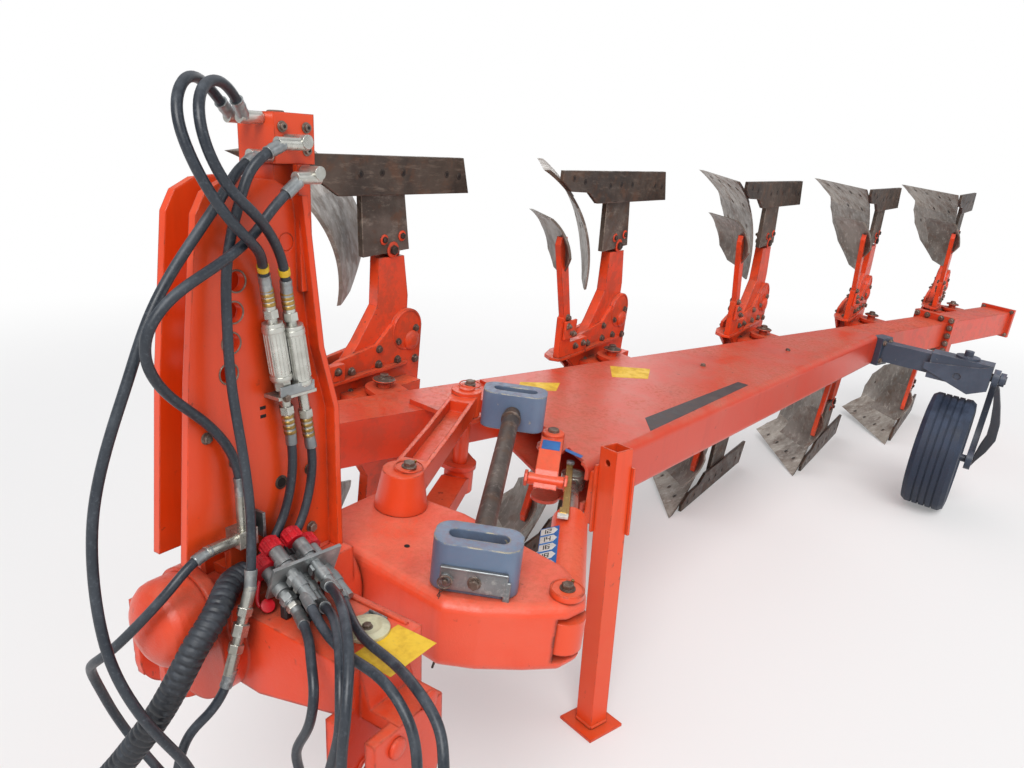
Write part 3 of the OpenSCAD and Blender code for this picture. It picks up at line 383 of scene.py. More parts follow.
class Piece:
    """Gathers forms given in one set of axes, in millimetres, into one object that rides on a body."""

    def __init__(self, name, body, axes=Matrix.Identity(4)):
        self.name, self.body, self.axes = name, body, axes
        self.v, self.f, self.m, self.mats = [], [], [], []

    def add(self, points, faces, key, turn=Matrix.Identity(4)):
        if key not in self.mats:
            self.mats.append(key)
        base = len(self.v)
        self.v += [self.axes @ ((turn @ p) * 0.001) for p in points]
        self.f += [tuple(base + i for i in f) for f in faces]
        self.m += [self.mats.index(key)] * len(faces)

    def turned(self, start, axis, profile, key, n=24):
        """A form turned about an axis from its outline in (distance along, radius)."""
        start, axis = Vector(start), Vector(axis).normalized()
        spokes = around(axis, n)
        points = [start + axis * along + out * r for along, r in profile for out in spokes]
        self.add(points, strips(len(profile), n), key)

    def collar(self, start, axis, length, r, lip, key, n):
        self.turned(start, axis, [(0, r - lip), (1, r), (length - 1, r), (length, r - lip)], key, n)

    def rod(self, p, q, r, key, n=20, edge=0.8):
        p, q = Vector(p), Vector(q)
        l = (q - p).length
        e = min(edge, r * 0.4, l * 0.3)
        self.turned(p, q - p, [(0, r - e), (e, r), (l - e, r), (l, r - e)], key, n)

    def bolt(self, p, axis, size, key="bolt", washer=True, stud=0.0, socket=False):
        """A bolt's head, hexagonal or round with its socket painted as a dark hexagon of shade; stud is how far its
        thread stands out of it.
        """
        p, axis = Vector(p), Vector(axis).normalized()

        def part(n, *profile, finish=key):
            self.turned(p, axis, [(along * size, r * size) for along, r in profile], finish, n)

        if washer:
            part(20, (0, 1.12), (0.16, 1.12), (0.2, 1.06))
            p = p + axis * size * 0.18
        if socket:
            part(20, (0, 0.8), (0.6, 0.8), (0.68, 0.7))
            # Painted shade: a dark hexagon stands for the socket's recess
            part(6, (0.66, 0.42), (0.7, 0.4), finish="shade")
        else:
            part(6, (0, 0.9), (0.56, 0.9), (0.64, 0.78))
            part(16, (0.5, 0.7), (0.67, 0.66))
        if stud:
            top = size * 0.6 + stud
            self.turned(p, axis, [(size * 0.4, size * 0.5), (top - 1, size * 0.5), (top, size * 0.4)], key, 14)

    def bolts(self, spots, y, way=1, **more):
        """Bolts on a face square to Y, from their (x, z, size)."""
        for x, z, size in spots:
            self.bolt((x, y, z), (0, way, 0), size, **more)

    def box(self, low, high, key, edge=1.0, turn=Matrix.Identity(4)):
        """A block with its edges broken, from one corner to the other, in the piece's axes or in turn's."""
        lo, hi = Vector(low), Vector(high)
        e = min(edge, *((hi - lo) * 0.4))
        pts = []
        for corner in product((0, 1), repeat=3):
            for k in range(3):
                pts.append(Vector([(hi[j] if far else lo[j]) + (0 if j == k else -e if far else e)
                                   for j, far in enumerate(corner)]))
        self.add(pts, block_faces(pts), key, turn)

    def plate(self, outline, low, high, key, turn=Matrix.Identity(4), edge=0.6):
        """A flat plate from its outline in the XY plane, with a small chamfer on its top edge."""
        n = len(outline)
        mid = Vector((sum(p[0] for p in outline) / n, sum(p[1] for p in outline) / n))
        e = min(edge, (high - low) * 0.4)
        inner = [mid + (Vector(p) - mid) * (1 - e / max((Vector(p) - mid).length, 0.1)) for p in outline]
        rows = (outline, low), (outline, high - e), (inner, high)
        self.add([Vector((p[0], p[1], z)) for line, z in rows for p in line], strips(3, n), key, turn)

    def tube(self, points, r, key, n=12, closed=False, shape=None):
        """A round bar along a line of points; shape changes its radius along the way and round it."""
        p = [Vector(q) for q in points]
        m = len(p)
        t = [(p[(i + 1) % m] - p[i - 1]).normalized() if closed else
             (p[min(i + 1, m - 1)] - p[max(i - 1, 0)]).normalized() for i in range(m)]
        s = side_of(t[0])[0]
        pts, far = [], 0.0
        for i in range(m):
            s = (s - t[i] * s.dot(t[i])).normalized()
            b = t[i].cross(s)
            if i:
                far += (p[i] - p[i - 1]).length
            for j in range(n):
                a = 2 * math.pi * j / n
                rr = r * shape(far, a) if shape else r
                pts.append(p[i] + (s * math.cos(a) + b * math.sin(a)) * rr)
        self.add(pts, strips(m, n, closed), key)

    def ring(self, centre, axis, radius, r, key, n=32, k=10):
        self.tube([Vector(centre) + out * radius for out in around(Vector(axis), n)], r, key, k, True)

    def bead(self, a, b, r, key):
        """A weld bead from a to b."""
        a, b = Vector(a), Vector(b)
        n = max(4, int((b - a).length / 5))
        self.tube([a.lerp(b, k / n) for k in range(n + 1)], r, key, 8,
                  shape=lambda far, angle: 1.0 + 0.16 * math.sin(far * 1.3))

    def make(self, smooth=34.0):
        mesh = bpy.data.meshes.new(self.name)
        mesh.from_pydata([tuple(p) for p in self.v], [], self.f)
        for key in self.mats:
            mesh.materials.append(MAT[key])
        mesh.polygons.foreach_set("material_index", self.m)
        mesh.polygons.foreach_set("use_smooth", [True] * len(self.f))
        mesh.set_sharp_from_angle(angle=math.radians(smooth))
        mesh.update()
        obj = placed(self.name, mesh)
        if self.body == "stage":
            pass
        else:
            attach(obj, self.body)
        return obj


def smooth_line(points, steps=6):
    p = [Vector(q) for q in points]
    q = [2 * p[0] - p[1]] + p + [2 * p[-1] - p[-2]]
    out = []
    for i in range(len(p) - 1):
        a, b, c, d = q[i:i + 4]
        for k in range(steps):
            t = k / steps
            out.append(((1 - t) ** 3 * a + (3 * t ** 3 - 6 * t * t + 4) * b
                        + (-3 * t ** 3 + 3 * t * t + 3 * t + 1) * c + t ** 3 * d) / 6)
    return out + [p[-1]]


# Hydraulic hoses: the routes are those of the part, in the head's axes
HOSES = {
    "hose_1": [(1320, -15, 880), (1350, -5, 905), (1395, 20, 930), (1440, 50, 930), (1475, 75, 900),
        (1485, 90, 860), (1475, 105, 810), (1455, 110, 770), (1435, 120, 735), (1405, 120, 705), (1365, 100, 680),
        (1345, 75, 650), (1335, 70, 610)],
    "hose_2": [(1320, 15, 880), (1345, 30, 910), (1385, 50, 930), (1430, 75, 920), (1460, 100, 890),
        (1465, 115, 840), (1440, 120, 785), (1410, 125, 755), (1365, 110, 725), (1320, 90, 675), (1300, 75, 630),
        (1295, 70, 600)],
    "hose_3": [(1305, 85, 840), (1345, 90, 825), (1370, 85, 800), (1385, 85, 765), (1400, 75, 710),
        (1415, 75, 645), (1420, 80, 570), (1425, 85, 485), (1420, 95, 395), (1415, 100, 320), (1415, 105, 250),
        (1430, 120, 195), (1440, 125, 140)],
    "hose_4": [(1275, 85, 785), (1330, 85, 745), (1355, 80, 710), (1410, 100, 685), (1460, 110, 665),
        (1505, 110, 645), (1540, 105, 620), (1565, 95, 580), (1560, 85, 530), (1520, 70, 475), (1460, 65, 425),
        (1420, 65, 370), (1405, 65, 325), (1405, 70, 280)],
    "hose_5": [(1320, 40, 820), (1365, 55, 805), (1405, 70, 765), (1455, 70, 710), (1500, 60, 650),
        (1540, 60, 590), (1570, 55, 510), (1605, 50, 430), (1635, 40, 330), (1650, 50, 235), (1655, 65, 150),
        (1655, 90, 85), (1630, 110, 0), (1590, 115, -80), (1570, 115, -120), (1550, 120, -190), (1530, 130, -250),
        (1500, 165, -290), (1470, 205, -280), (1450, 240, -230), (1455, 260, -160), (1480, 260, -80),
        (1485, 305, -20), (1490, 325, 30), (1480, 320, 65), (1460, 290, 90), (1435, 260, 95), (1415, 225, 100),
        (1400, 195, 100)],
    "hose_6": [(1470, 70, 205), (1500, 70, 200), (1530, 70, 180), (1550, 65, 160), (1575, 50, 130), (1595, 25, 95),
        (1610, -5, 60), (1620, -40, 30), (1610, -85, -5), (1585, -110, -70), (1560, -120, -150), (1535, -95, -225),
        (1515, -40, -285), (1500, 40, -335), (1490, 130, -355), (1480, 220, -340), (1480, 290, -275),
        (1480, 325, -170), (1490, 350, -80), (1500, 380, -10), (1500, 395, 40), (1490, 385, 85), (1465, 360, 115),
        (1430, 320, 130), (1395, 270, 130), (1370, 225, 110), (1355, 195, 100)],
    "hose_7": [(1485, 125, 15), (1500, 125, -20), (1525, 115, -55), (1550, 90, -85), (1565, 75, -150),
        (1570, 65, -230), (1550, 80, -305), (1510, 140, -385), (1490, 230, -410), (1480, 330, -395),
        (1480, 420, -335), (1485, 485, -265), (1490, 515, -180), (1485, 525, -90), (1480, 520, -20),
        (1470, 515, 20), (1460, 500, 60), (1455, 475, 90), (1450, 440, 110), (1440, 395, 110), (1430, 335, 100),
        (1415, 265, 110), (1385, 195, 130)],
    "hose_8": [(1300, 70, 370), (1295, 70, 310), (1300, 65, 250), (1320, 65, 200), (1350, 65, 160),
        (1380, 70, 145), (1412, 70, 145)],
    "hose_9": [(1260, 70, 355), (1250, 70, 300), (1255, 65, 240), (1275, 65, 185), (1310, 65, 140),
        (1350, 65, 125), (1412, 70, 125)],
    "hose_10": [(1675, -60, -310), (1675, -60, -350), (1670, -60, -400), (1650, -50, -450), (1605, 5, -480),
        (1550, 120, -495), (1515, 240, -490), (1510, 335, -450), (1515, 400, -340), (1510, 410, -240),
        (1510, 410, -150), (1515, 410, -60), (1515, 410, 10), (1510, 415, 65), (1495, 405, 105), (1460, 375, 140),
        (1425, 330, 160), (1390, 280, 160), (1360, 230, 145), (1340, 195, 130)],
    "hose_11": [(1655, -60, -310), (1655, -60, -350), (1640, -80, -430), (1620, -70, -500), (1590, 10, -520),
        (1540, 140, -540), (1505, 300, -525), (1490, 430, -465), (1490, 530, -370), (1495, 575, -270),
        (1495, 585, -170), (1490, 580, -80), (1475, 565, 55), (1455, 545, 80), (1445, 520, 100), (1435, 480, 115),
        (1400, 415, 100), (1390, 360, 100), (1380, 310, 100), (1330, 230, 100), (1310, 195, 105)],
    "hose_bundle": [(1405, 70, 135), (1440, 70, 135), (1480, 100, 120), (1510, 110, 100), (1535, 110, 80),
        (1560, 100, 30), (1585, 75, -35), (1610, 45, -90), (1630, 10, -145), (1655, -30, -200), (1665, -55, -260),
        (1665, -60, -320)],
}


def spiral(far, angle):
    """The ribs of the spiral wrap round the bundle."""
    turn = (far / 13.0 - angle / (2 * math.pi)) % 1.0
    return 1.0 + 0.05 * (1 if 0.12 < turn < 0.78 else -0.6)


for name, route in HOSES.items():
    bundle = name == "hose_bundle"
    r = 21.0 if bundle else 8.0
    points = smooth_line(route, 26 if bundle else 6)
    piece = Piece("cord_" + name, "headstock", HEAD)
    if bundle:
        piece.tube(points, r, "wrap", 40, shape=spiral)
    else:
        piece.tube(points, r, "hose", 16)
    obj = piece.make(70)
    path = [HEAD @ (p * 0.001) for p in points]
    length = sum((b - a).length for a, b in zip(path, path[1:]))
    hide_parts(name)

# Coloured marking rings on the hoses, near the valves and near the couplers
marks = Piece("hose_marks", "headstock", HEAD)
for name, back, key in (("hose_1", 46, "yellow_ring"), ("hose_2", 44, "yellow_ring"), ("hose_5", 14, "blue_ring"),
                        ("hose_7", 16, "blue_ring"), ("hose_6", 16, "yellow_ring"), ("hose_10", 14, "red_cap"),
                        ("hose_11", 14, "red_cap")):
    points = smooth_line(HOSES[name], 8)[::-1]
    far, i = 0.0, 0
    while far < back:
        far += (points[i + 1] - points[i]).length
        i += 1
    marks.tube(points[i - 1:i + 2], 9.6, key, 16)
marks.make()

# Crimped sleeves where the hoses leave their fittings, but for the ends inside the bundle
IN_BUNDLE = {"hose_10": "first", "hose_11": "first", "hose_8": "last", "hose_9": "last"}
SLEEVE = 34
sleeves = Piece("hose_sleeves", "headstock", HEAD)
for name in HOSES:
    if name == "hose_bundle":
        continue
    points = smooth_line(HOSES[name], 10)
    for end, ends in (("first", points), ("last", points[::-1])):
        if IN_BUNDLE.get(name) == end:
            continue
        line, far = [ends[0]], 0.0
        for a, b in zip(ends, ends[1:]):
            far += (b - a).length
            if far > SLEEVE:
                break
            line.append(b)
        sleeves.tube(line, 10.6, "galvanised", 16, shape=lambda f, a: 1.0 - 0.07 * (int(f / 3.2) % 2))
sleeves.make()

# Materials of the model's own nodes
BY_KEY = {
    "cast": "cross_beam shaft_cap carrier", "tower": "tower head_block turnover_cylinder",
    "arm": "link_arm arm_pins short_link width_cylinder", "beam": "main_beam rear_beam", "brace": "brace",
    "stand": "stand_socket stand", "wheel_grey": "wheel_bracket wheel_fork", "rim": "wheel_rim", "tyre": "tyre",
    "bar": "hitch_bar", "grey": "hitch_blocks", "galvanised": "coupler_rack",
    "zinc": "width_rod block_elbows valves hose_joint branch_fitting",
}
BY_NODE = {name: key for key, names in BY_KEY.items() for name in names.split()}
BY_START = {"legs": "leg", "bottoms": "bottom", "skimmers": "skim", "hose": "hose"}


def dressed(name, keys, choose):
    """The node's own shape with more than one finish: choose gives a face's key from its place on the body."""
    mesh = nodes[name].data.copy()
    mesh.materials.clear()
    for key in keys:
        mesh.materials.append(MAT[key])
    sides = [body_axes(int(name[-1]), side).inverted() for side in (0, 1)]
    for face in mesh.polygons:
        spots = [m @ face.center * 1000 for m in sides]
        face.material_index = keys.index(choose(max(spots, key=lambda p: p.z)))
    obj = placed(name + "_dressed", mesh)
    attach(obj, "body_" + name[-1])
    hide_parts(name)


def skimmer_finish(p):
    stem = -88 < p.y < -58 and p.z < 549 and 100 < p.x < 404
    return "skim" if stem else "board"


def bottom_finish(p):
    if p.y > -99 and p.z > 640:
        return "landside"
    if p.y > -120 and 440 < p.z < 700 and -190 < p.x < 50:
        return "bottom"
    return "share" if p.z > 640 else "board"


for name, node in nodes.items():
    key = BY_NODE.get(name) or BY_START[name.split("_")[0]]
    if not node.material_slots:
        node.data.materials.append(MAT[key])
    for s in node.material_slots:
        s.material = MAT[key]
    if name.startswith("bottoms"):
        dressed(name, ["board", "share", "landside", "bottom"], bottom_finish)
    if name.startswith("skimmers"):
        dressed(name, ["skim", "board"], skimmer_finish)

# Headstock
# Rubber-capped couplers: their sleeves, dust caps and straps
COUPLER = Vector((0.127, 0.905, -0.407))
BASES = [Vector(p) for p in ((1384, 90, 146), (1368, 90, 176), (1338, 90, 146), (1322, 90, 176), (1292, 90, 148))]
couplers = Piece("coupler_sleeves", "headstock", HEAD)
caps = Piece("dust_caps", "headstock", HEAD)
for i, base in enumerate(BASES):
    couplers.turned(base + COUPLER * 34.4, COUPLER,
                    [(0, 13.6), (1, 14.6), (10, 14.6), (11, 13.4), (14, 13.4), (15, 14.6), (30, 14.6), (31, 13.2)],
                    "galvanised", 28)
    couplers.turned(base + COUPLER * 74, COUPLER, [(0, 14.4), (11, 14.4), (12, 13)], "galvanised", 6)
    couplers.turned(base + COUPLER * 93, COUPLER, [(0, 12.6), (8, 12.6), (9, 11.4)], "zinc", 6)
    r = 22.0 if i in (0, 4) else 17.0
    key = "black_plastic" if i == 2 else "red_cap"
    back = base - COUPLER * 2
    caps.turned(back, -COUPLER, [(-16, r * 0.8), (-15, r), (-4, r), (-3, r * 0.94), (0, r * 0.94), (1, r), (9, r),
                                 (12, r * 0.86), (13, r * 0.5)], key, 32)
    for out in around(COUPLER, 10):
        caps.rod(back + COUPLER * 14 + out * r, back - COUPLER * 8 + out * r, 2.2, key, 8)
for a, b, sag in ((BASES[0], Vector((1404, 118, 92)), 26), (BASES[4], Vector((1330, 132, 100)), 20)):
    line = []
    for k in range(13):
        t = k / 12
        p = (a - COUPLER * 6).lerp(b, t)
        p.z -= sag * 4 * t * (1 - t)
        p.x += 16 * math.sin(math.pi * t)
        line.append(p)
    caps.tube(line, 3.4, "red_cap", 8)
caps.turned((1404, 118, 88), (0.2, 0.7, 0.6), [(0, 9), (3, 12), (8, 12), (9, 9)], "red_cap", 20)
caps.make()
couplers.make()

# Black rubber bracket below the couplers, on the arm's top
bracket = Piece("coupler_bracket", "headstock", HEAD)
bracket.box((1316, 150, 78), (1404, 166, 104), "black_plastic", 3)
bracket.box((1344, 140, 78), (1388, 200, 86), "black_plastic", 2)
bracket.bolt((1366, 186, 86), (0, 0, 1), 9)
bracket.make()

# Steel cover disc with its clip, on top of the arm
disc = Piece("arm_disc", "headstock", HEAD)
disc.turned((1340, 290, 78), (0, 0, 1), [(0, 37), (3, 38), (7, 38), (9, 35), (9.5, 24), (7, 20), (7, 8)], "cream", 48)
disc.ring((1340, 290, 84), (0, 0, 1), 33, 2.4, "cream")
disc.bolt((1340, 290, 84), UP, 9)
disc.box((1300, 254, 78), (1320, 300, 82), "galvanised", 1)
disc.rod((1302, 258, 84), (1302, 298, 84), 3, "galvanised")
disc.make()

# Small things on the tower: bolts, a rim round a hole painted dark with shade, slots painted as dark shade, the rims
# of the top link's bores
TOWER_FACE = 46
tower = Piece("tower_details", "headstock", HEAD)
tower.bolts(((1447, 386, 9), (1400, 330, 8), (1240, 268, 10), (1240, 150, 10)), TOWER_FACE)
tower.turned((1305, TOWER_FACE, 263), LEFT, [(0, 13), (1.2, 13), (1.6, 11)], "bolt", 28)
# Painted shade: a dark disc inside the rim stands for the hole
tower.turned((1305, TOWER_FACE, 263), LEFT, [(1.4, 9), (1.9, 8.8)], "shade", 24)
# Painted shade: thin dark blocks stand for the slots
for z in (395, 410):
    tower.box((1330, 45.6, z - 3), (1342, 46.3, z + 3), "shade", 0.2)
for k in range(4):
    tower.ring((1374 + 8 * k, 46.2, 630 - 49 * k), LEFT, 17.6, 1.5, "bolt", 36, 8)
# Folded steel bracket that carries the branch, with its clamp
tower.box((1360, TOWER_FACE, 186), (1366, 70, 232), "galvanised", 0.8)
tower.box((1360, TOWER_FACE, 186), (1392, 50, 232), "galvanised", 0.8)
tower.bolt((1376, 50, 208), LEFT, 8)
# Head block: socket screws on its side and the plug on its top
tower.bolts(((1222, 832, 8), (1222, 868, 8), (1272, 868, 8)), 46.3, socket=True)
tower.turned((1246, 0, 890), UP, [(0, 15), (3, 15), (4, 13), (4.4, 6)], "bolt", 6)
tower.make()

# Weld beads where the tower meets its base and where the arm meets the housing
welds = Piece("weld_beads", "headstock", HEAD)
welds.bead((1200, 47, 101), (1412, 47, 101), 5, "cast")
welds.bead((1456, 99, 4), (1456, 99, 60), 5, "cast")
welds.bead((1286, 100, 79), (1286, 330, 79), 4, "cast")
welds.make()

# Valves: knurled collars, bright nuts and the fluted bodies between them
VALVE_LEAN = math.radians(8)
d = Vector((-math.sin(VALVE_LEAN), 0, -math.cos(VALVE_LEAN)))
valves = Piece("valve_details", "headstock", HEAD)
for start, total, body_r in (((1336, 70, 620), 262, 17), ((1296, 70, 610), 268, 19)):
    p = Vector(start)
    for along in (2, 10, 18, 26, total - 36, total - 26, total - 16, total - 6):
        valves.collar(p + d * along, d, 6, 11, 0.7, "brass", 24)
    for along, length in ((66, 10), (total - 110, 8)):
        valves.collar(p + d * along, d, length, body_r + 1.6, 1.6, "zinc", 32)
    for out in around(d, 18):
        valves.rod(p + d * 78 + out * body_r, p + d * (total - 114) + out * body_r, 0.9, "zinc", 6)
valves.box((1256, 84, 434), (1330, 87, 452), "galvanised", 1)
valves.bolt((1316, 84, 431), LEFT, 7)
valves.make()

# Lower link bracket: raised rims round the bore and bolt pads; a bare plate on the arm
links = Piece("link_details", "headstock", HEAD)
for y in (432.5, 350.5):
    links.ring((1400, y, -120), LEFT, 27, 3.4, "cast", 40, 10)
for x, z in ((1352, 20), (1424, -20), (1360, -150)):
    links.turned((x, 432.4, z), LEFT, [(0, 17), (5, 17), (7, 14), (7.4, 6)], "cast", 30)
links.make()
plates = Piece("bare_plates_head", "headstock", HEAD)
plates.plate([(1296, 318), (1404, 318), (1404, 402), (1296, 402)], 78.1, 78.7, "yellow")
plates.make()

# Carrier: bolts in their rims, with grease nipples, and a small sunk hole on top painted as a dark disc of shade
carrier = Piece("carrier_details", "carrier", FRAME)
for u, v, w, size in ((-704, -891, 168, 15), (-254, -489, 165, 15), (-612, -1334, 87, 14)):
    carrier.bolt((u, v, w), UP, size)
    carrier.ring((u, v, w + 0.6), UP, 31, 1.8, "arm", 40, 8)
    carrier.rod((u + 22, v + 10, w), (u + 22, v + 10, w + 7), 3.2, "brass")
# Painted shade: a dark disc stands for the sunk hole
carrier.turned((-794, -1045, 75.2), UP, [(0, 6), (0.4, 5.8)], "shade", 20)
carrier.make()

# Bent latch plate on the near block's end, with its bolt, ring pin and small chain
HITCH = FRAME @ move(-0.745, -1.215, 0.1253) @ spin(46.33, "Z")
latch = Piece("hitch_latch", "carrier", HITCH)
latch.box((-51, -66, -42), (-45.4, 62, 6), "galvanised", 1.6)
latch.box((-51, -72, -78), (-45.4, -58, -10), "galvanised", 1.6)
latch.box((-54, -66, 2), (-45.4, 62, 7), "galvanised", 1.2)
latch.bolt((-51, -4, -20), (-1, 0, 0), 12)
latch.turned((-51, 50, -20), (-1, 0, 0), [(0, 12), (3, 12), (4, 10)], "galvanised", 24)
latch.rod((-51, 50, -20), (-64, 50, -20), 5, "bolt")
latch.ring((-62, 50, -20), (1, 0.2, 0), 13, 2, "bolt", 28, 8)
for k in range(30):
    axis = Vector((1, 0.3, 0)) if k % 2 else Vector((0.2, 1, 0.1))
    latch.ring((-62, 52 + 7 * math.sin(k * 0.55), -34 - k * 5.2), axis, 2.7, 0.75, "dark_bolt", 12, 5)
latch.rod((-62, 52, -186), (-62, 58, -214), 2.4, "dark_bolt")
latch.make()

# Worn collars on the loose bar
bar = Piece("bar_details", "carrier", HITCH)
lift = math.atan(62 / 667.7)
along = Vector((math.cos(lift), 0, math.sin(lift)))
for d in (62, 590):
    bar.turned(along * d, along, [(0, 23), (2, 26), (12, 26), (14, 23)], "bar", 32)
bar.make()

# Scale beside the width cylinder, with plain numbers, and its brass pointer
CYL = FRAME @ move(-0.612, -1.334, 0) @ spin(math.degrees(math.atan2(0.474, 0.462)), "Z")
SLOPE = move(0, 26, 34) @ spin(-24, "X")
MARK_SPACING = 36
scale = Piece("width_scale", "width_cylinder", CYL)
scale.box((150, -2, 0), (332, 44, 3), "blue", 0.8, SLOPE)
scale.box((160, 8, -22), (322, 20, 1), "arm", 1, SLOPE)
for k in range(5):
    x = 169 + MARK_SPACING * k
    scale.plate([(x - 14, 42), (x - 14, 10), (x, 1), (x + 14, 10), (x + 14, 42)], 3.0, 3.6, "white", SLOPE, 0.2)
scale.make()

# Each digit is drawn in bars, in a cell 8.5 wide and 16 high, with its top towards the rod
DIGITS = {"0": "abcdef", "1": "bc", "2": "abged", "4": "fgbc", "6": "afgedc", "8": "abcdefg"}
SEGMENT = {"a": ((0, 2), (1, 2)), "b": ((1, 1), (1, 2)), "c": ((1, 0), (1, 1)), "d": ((0, 0), (1, 0)),
           "e": ((0, 0), (0, 1)), "f": ((0, 1), (0, 2)), "g": ((0, 1), (1, 1))}
HALF_HEIGHT, WIDTH, HALF_STROKE = 8.0, 8.5, 1.2
numbers = Piece("scale_numbers", "width_cylinder", CYL)
for k, word in enumerate(("20", "18", "16", "14", "12")):
    for j, digit in enumerate(word):
        for seg in DIGITS[digit]:
            xs = [161 + MARK_SPACING * k + up * HALF_HEIGHT for _, up in SEGMENT[seg]]
            ys = [39 - j * 13 - across * WIDTH for across, _ in SEGMENT[seg]]
            numbers.box((min(xs) - HALF_STROKE, min(ys) - HALF_STROKE, 3.5),
                        (max(xs) + HALF_STROKE, max(ys) + HALF_STROKE, 4.0), "shade", 0.1, SLOPE)
numbers.make()

pointer = Piece("width_pointer", "width_rod", CYL)
pointer.box((352, 6, 51), (660, 24, 55), "brass", 1)
pointer.box((338, 8, 50), (356, 34, 58), "white", 1.4)
pointer.box((352, 12, 51), (380, 30, 60), "brass", 1)
pointer.rod((646, 14, 18), (646, 14, 62), 7, "galvanised")
pointer.turned((646, 14, 55), UP, [(0, 12), (6, 12), (7, 10)], "galvanised", 6)
pointer.make()

# Short link: its pin's washer, a bare plate on its face and the red clevis's cross bolt
lug = Piece("link_bolts", "short_link", FRAME)
lug.bolt((-182, -791, 116.3), UP, 18)
lug.turned((-182, -791, 116.2), UP, [(0, 31), (4, 31), (6, 28), (6.4, 18)], "arm", 40)
lug.make()
LINK = FRAME @ move(-0.182, -0.791, 0.0803) @ spin(225, "Z") @ spin(90, "X")
link = Piece("link_plate", "short_link", LINK)
link.box((0, -0.4, -24), (54, 0.9, 24), "blue", 0.2, move(44, 32.5, 0) @ spin(-2.5, "Z"))
link.rod((166, -27, -50), (166, -27, 50), 16, "arm", 28, 2)
for way in (1, -1):
    link.turned((166, -27, 47 * way), (0, 0, way), [(0, 21), (8, 21), (9, 18)], "arm", 6)
link.make()

# Brace and beams
TOP = 80.3
brace = Piece("brace_details", "frame", FRAME)
for u, v in ((900, -450), (1500, -440)):
    brace.bolt((u, v, TOP), UP, 10)
for outline, thick, key in (
        ([(514, -321), (645, -403), (546, -483), (427, -418)], 0.5, "yellow"),
        ([(66, -341), (195, -399), (128, -455), (10, -395)], 0.5, "yellow"),
        ([(240, -751), (174, -834), (884, -676), (873, -637)], 0.5, "strip"),
        ([(-156, -822), (-145, -880), (-162, -888), (-170, -832)], 0.4, "blue")):
    brace.plate(outline, TOP - 0.2, TOP + thick, key)
brace.make()

beam = Piece("beam_details", "frame", FRAME)
flange = [(v, w) for v in (-428, -370, -290, -232) for w in (-88, 88)]
flange += [(v, w) for w in (-45, 0, 45) for v in (-429, -231)]
end_plate = [(v, w) for v in (-415, -245) for w in (-74, 74)]
for spots, rear, front, size in ((flange, 3205, 3155, 15), (end_plate, 4095, 4070, 11)):
    for v, w in spots:
        beam.bolt((rear, v, w), (1, 0, 0), size)
        beam.bolt((front, v, w), (-1, 0, 0), size)
beam.turned((-650, -330, 70.2), UP, [(0, 16), (5, 16), (7, 13)], "beam", 30)
beam.make()

# Pins and lugs where each body turns on the beam
for i in range(1, 6):
    pins = Piece("swing_pins_%d" % i, "body_%d" % i, FRAME)
    for way in (UP, -UP):
        p = pivot(i) * 1000 + way * 90.2
        pins.turned(p, way, [(-0.2, 34), (6, 34), (8, 31), (9, 19), (13, 18), (14, 15)], "bolt", 40)
        pins.bolt(p + way * 9, way, 16)
        pins.ring(p + way * 4, way, 35, 1.6, "leg", 40, 6)
    pins.make()

# Legs and bodies: the Y of their faces, and the places of their bolts as (x, z, size) or as named
LEG_LEFT, LEG_RIGHT = -85.3, -149.4
FROG_LEFT, FROG_RIGHT = -96.9, -136.4
LANDSIDE_FACE = -84
STEM_LEFT, STEM_RIGHT = -61, -85.2
LEG_BOLTS = ((-238, 96, 13), (-150, 108, 13), (-60, 108, 13), (60, 108, 13), (150, 100, 12), (-232, 205, 12),
             (-150, 170, 11), (60, 40, 11), (-60, 160, 12))
BASE_XY = (-160, -136), (-20, -140), (150, -100), (250, -96)
FROG_BOLTS = (-108, 478, 20), (-66, 512, 13), (-146, 520, 13)
LANDSIDE_XZ = (-395, 705), (-330, 712), (-120, 716), (-28, 716), (60, 712), (250, 728), (330, 740)
FACE_YZ = ((-150, 728), (-215, 732), (-300, 738), (-380, 744), (-150, 655), (-250, 655), (-150, 560), (-235, 540),
           (-330, 560))
STEM_BOLTS = (140, 130, 12), (200, 128, 12), (262, 190, 12), (290, 214, 12), (284, 250, 12)
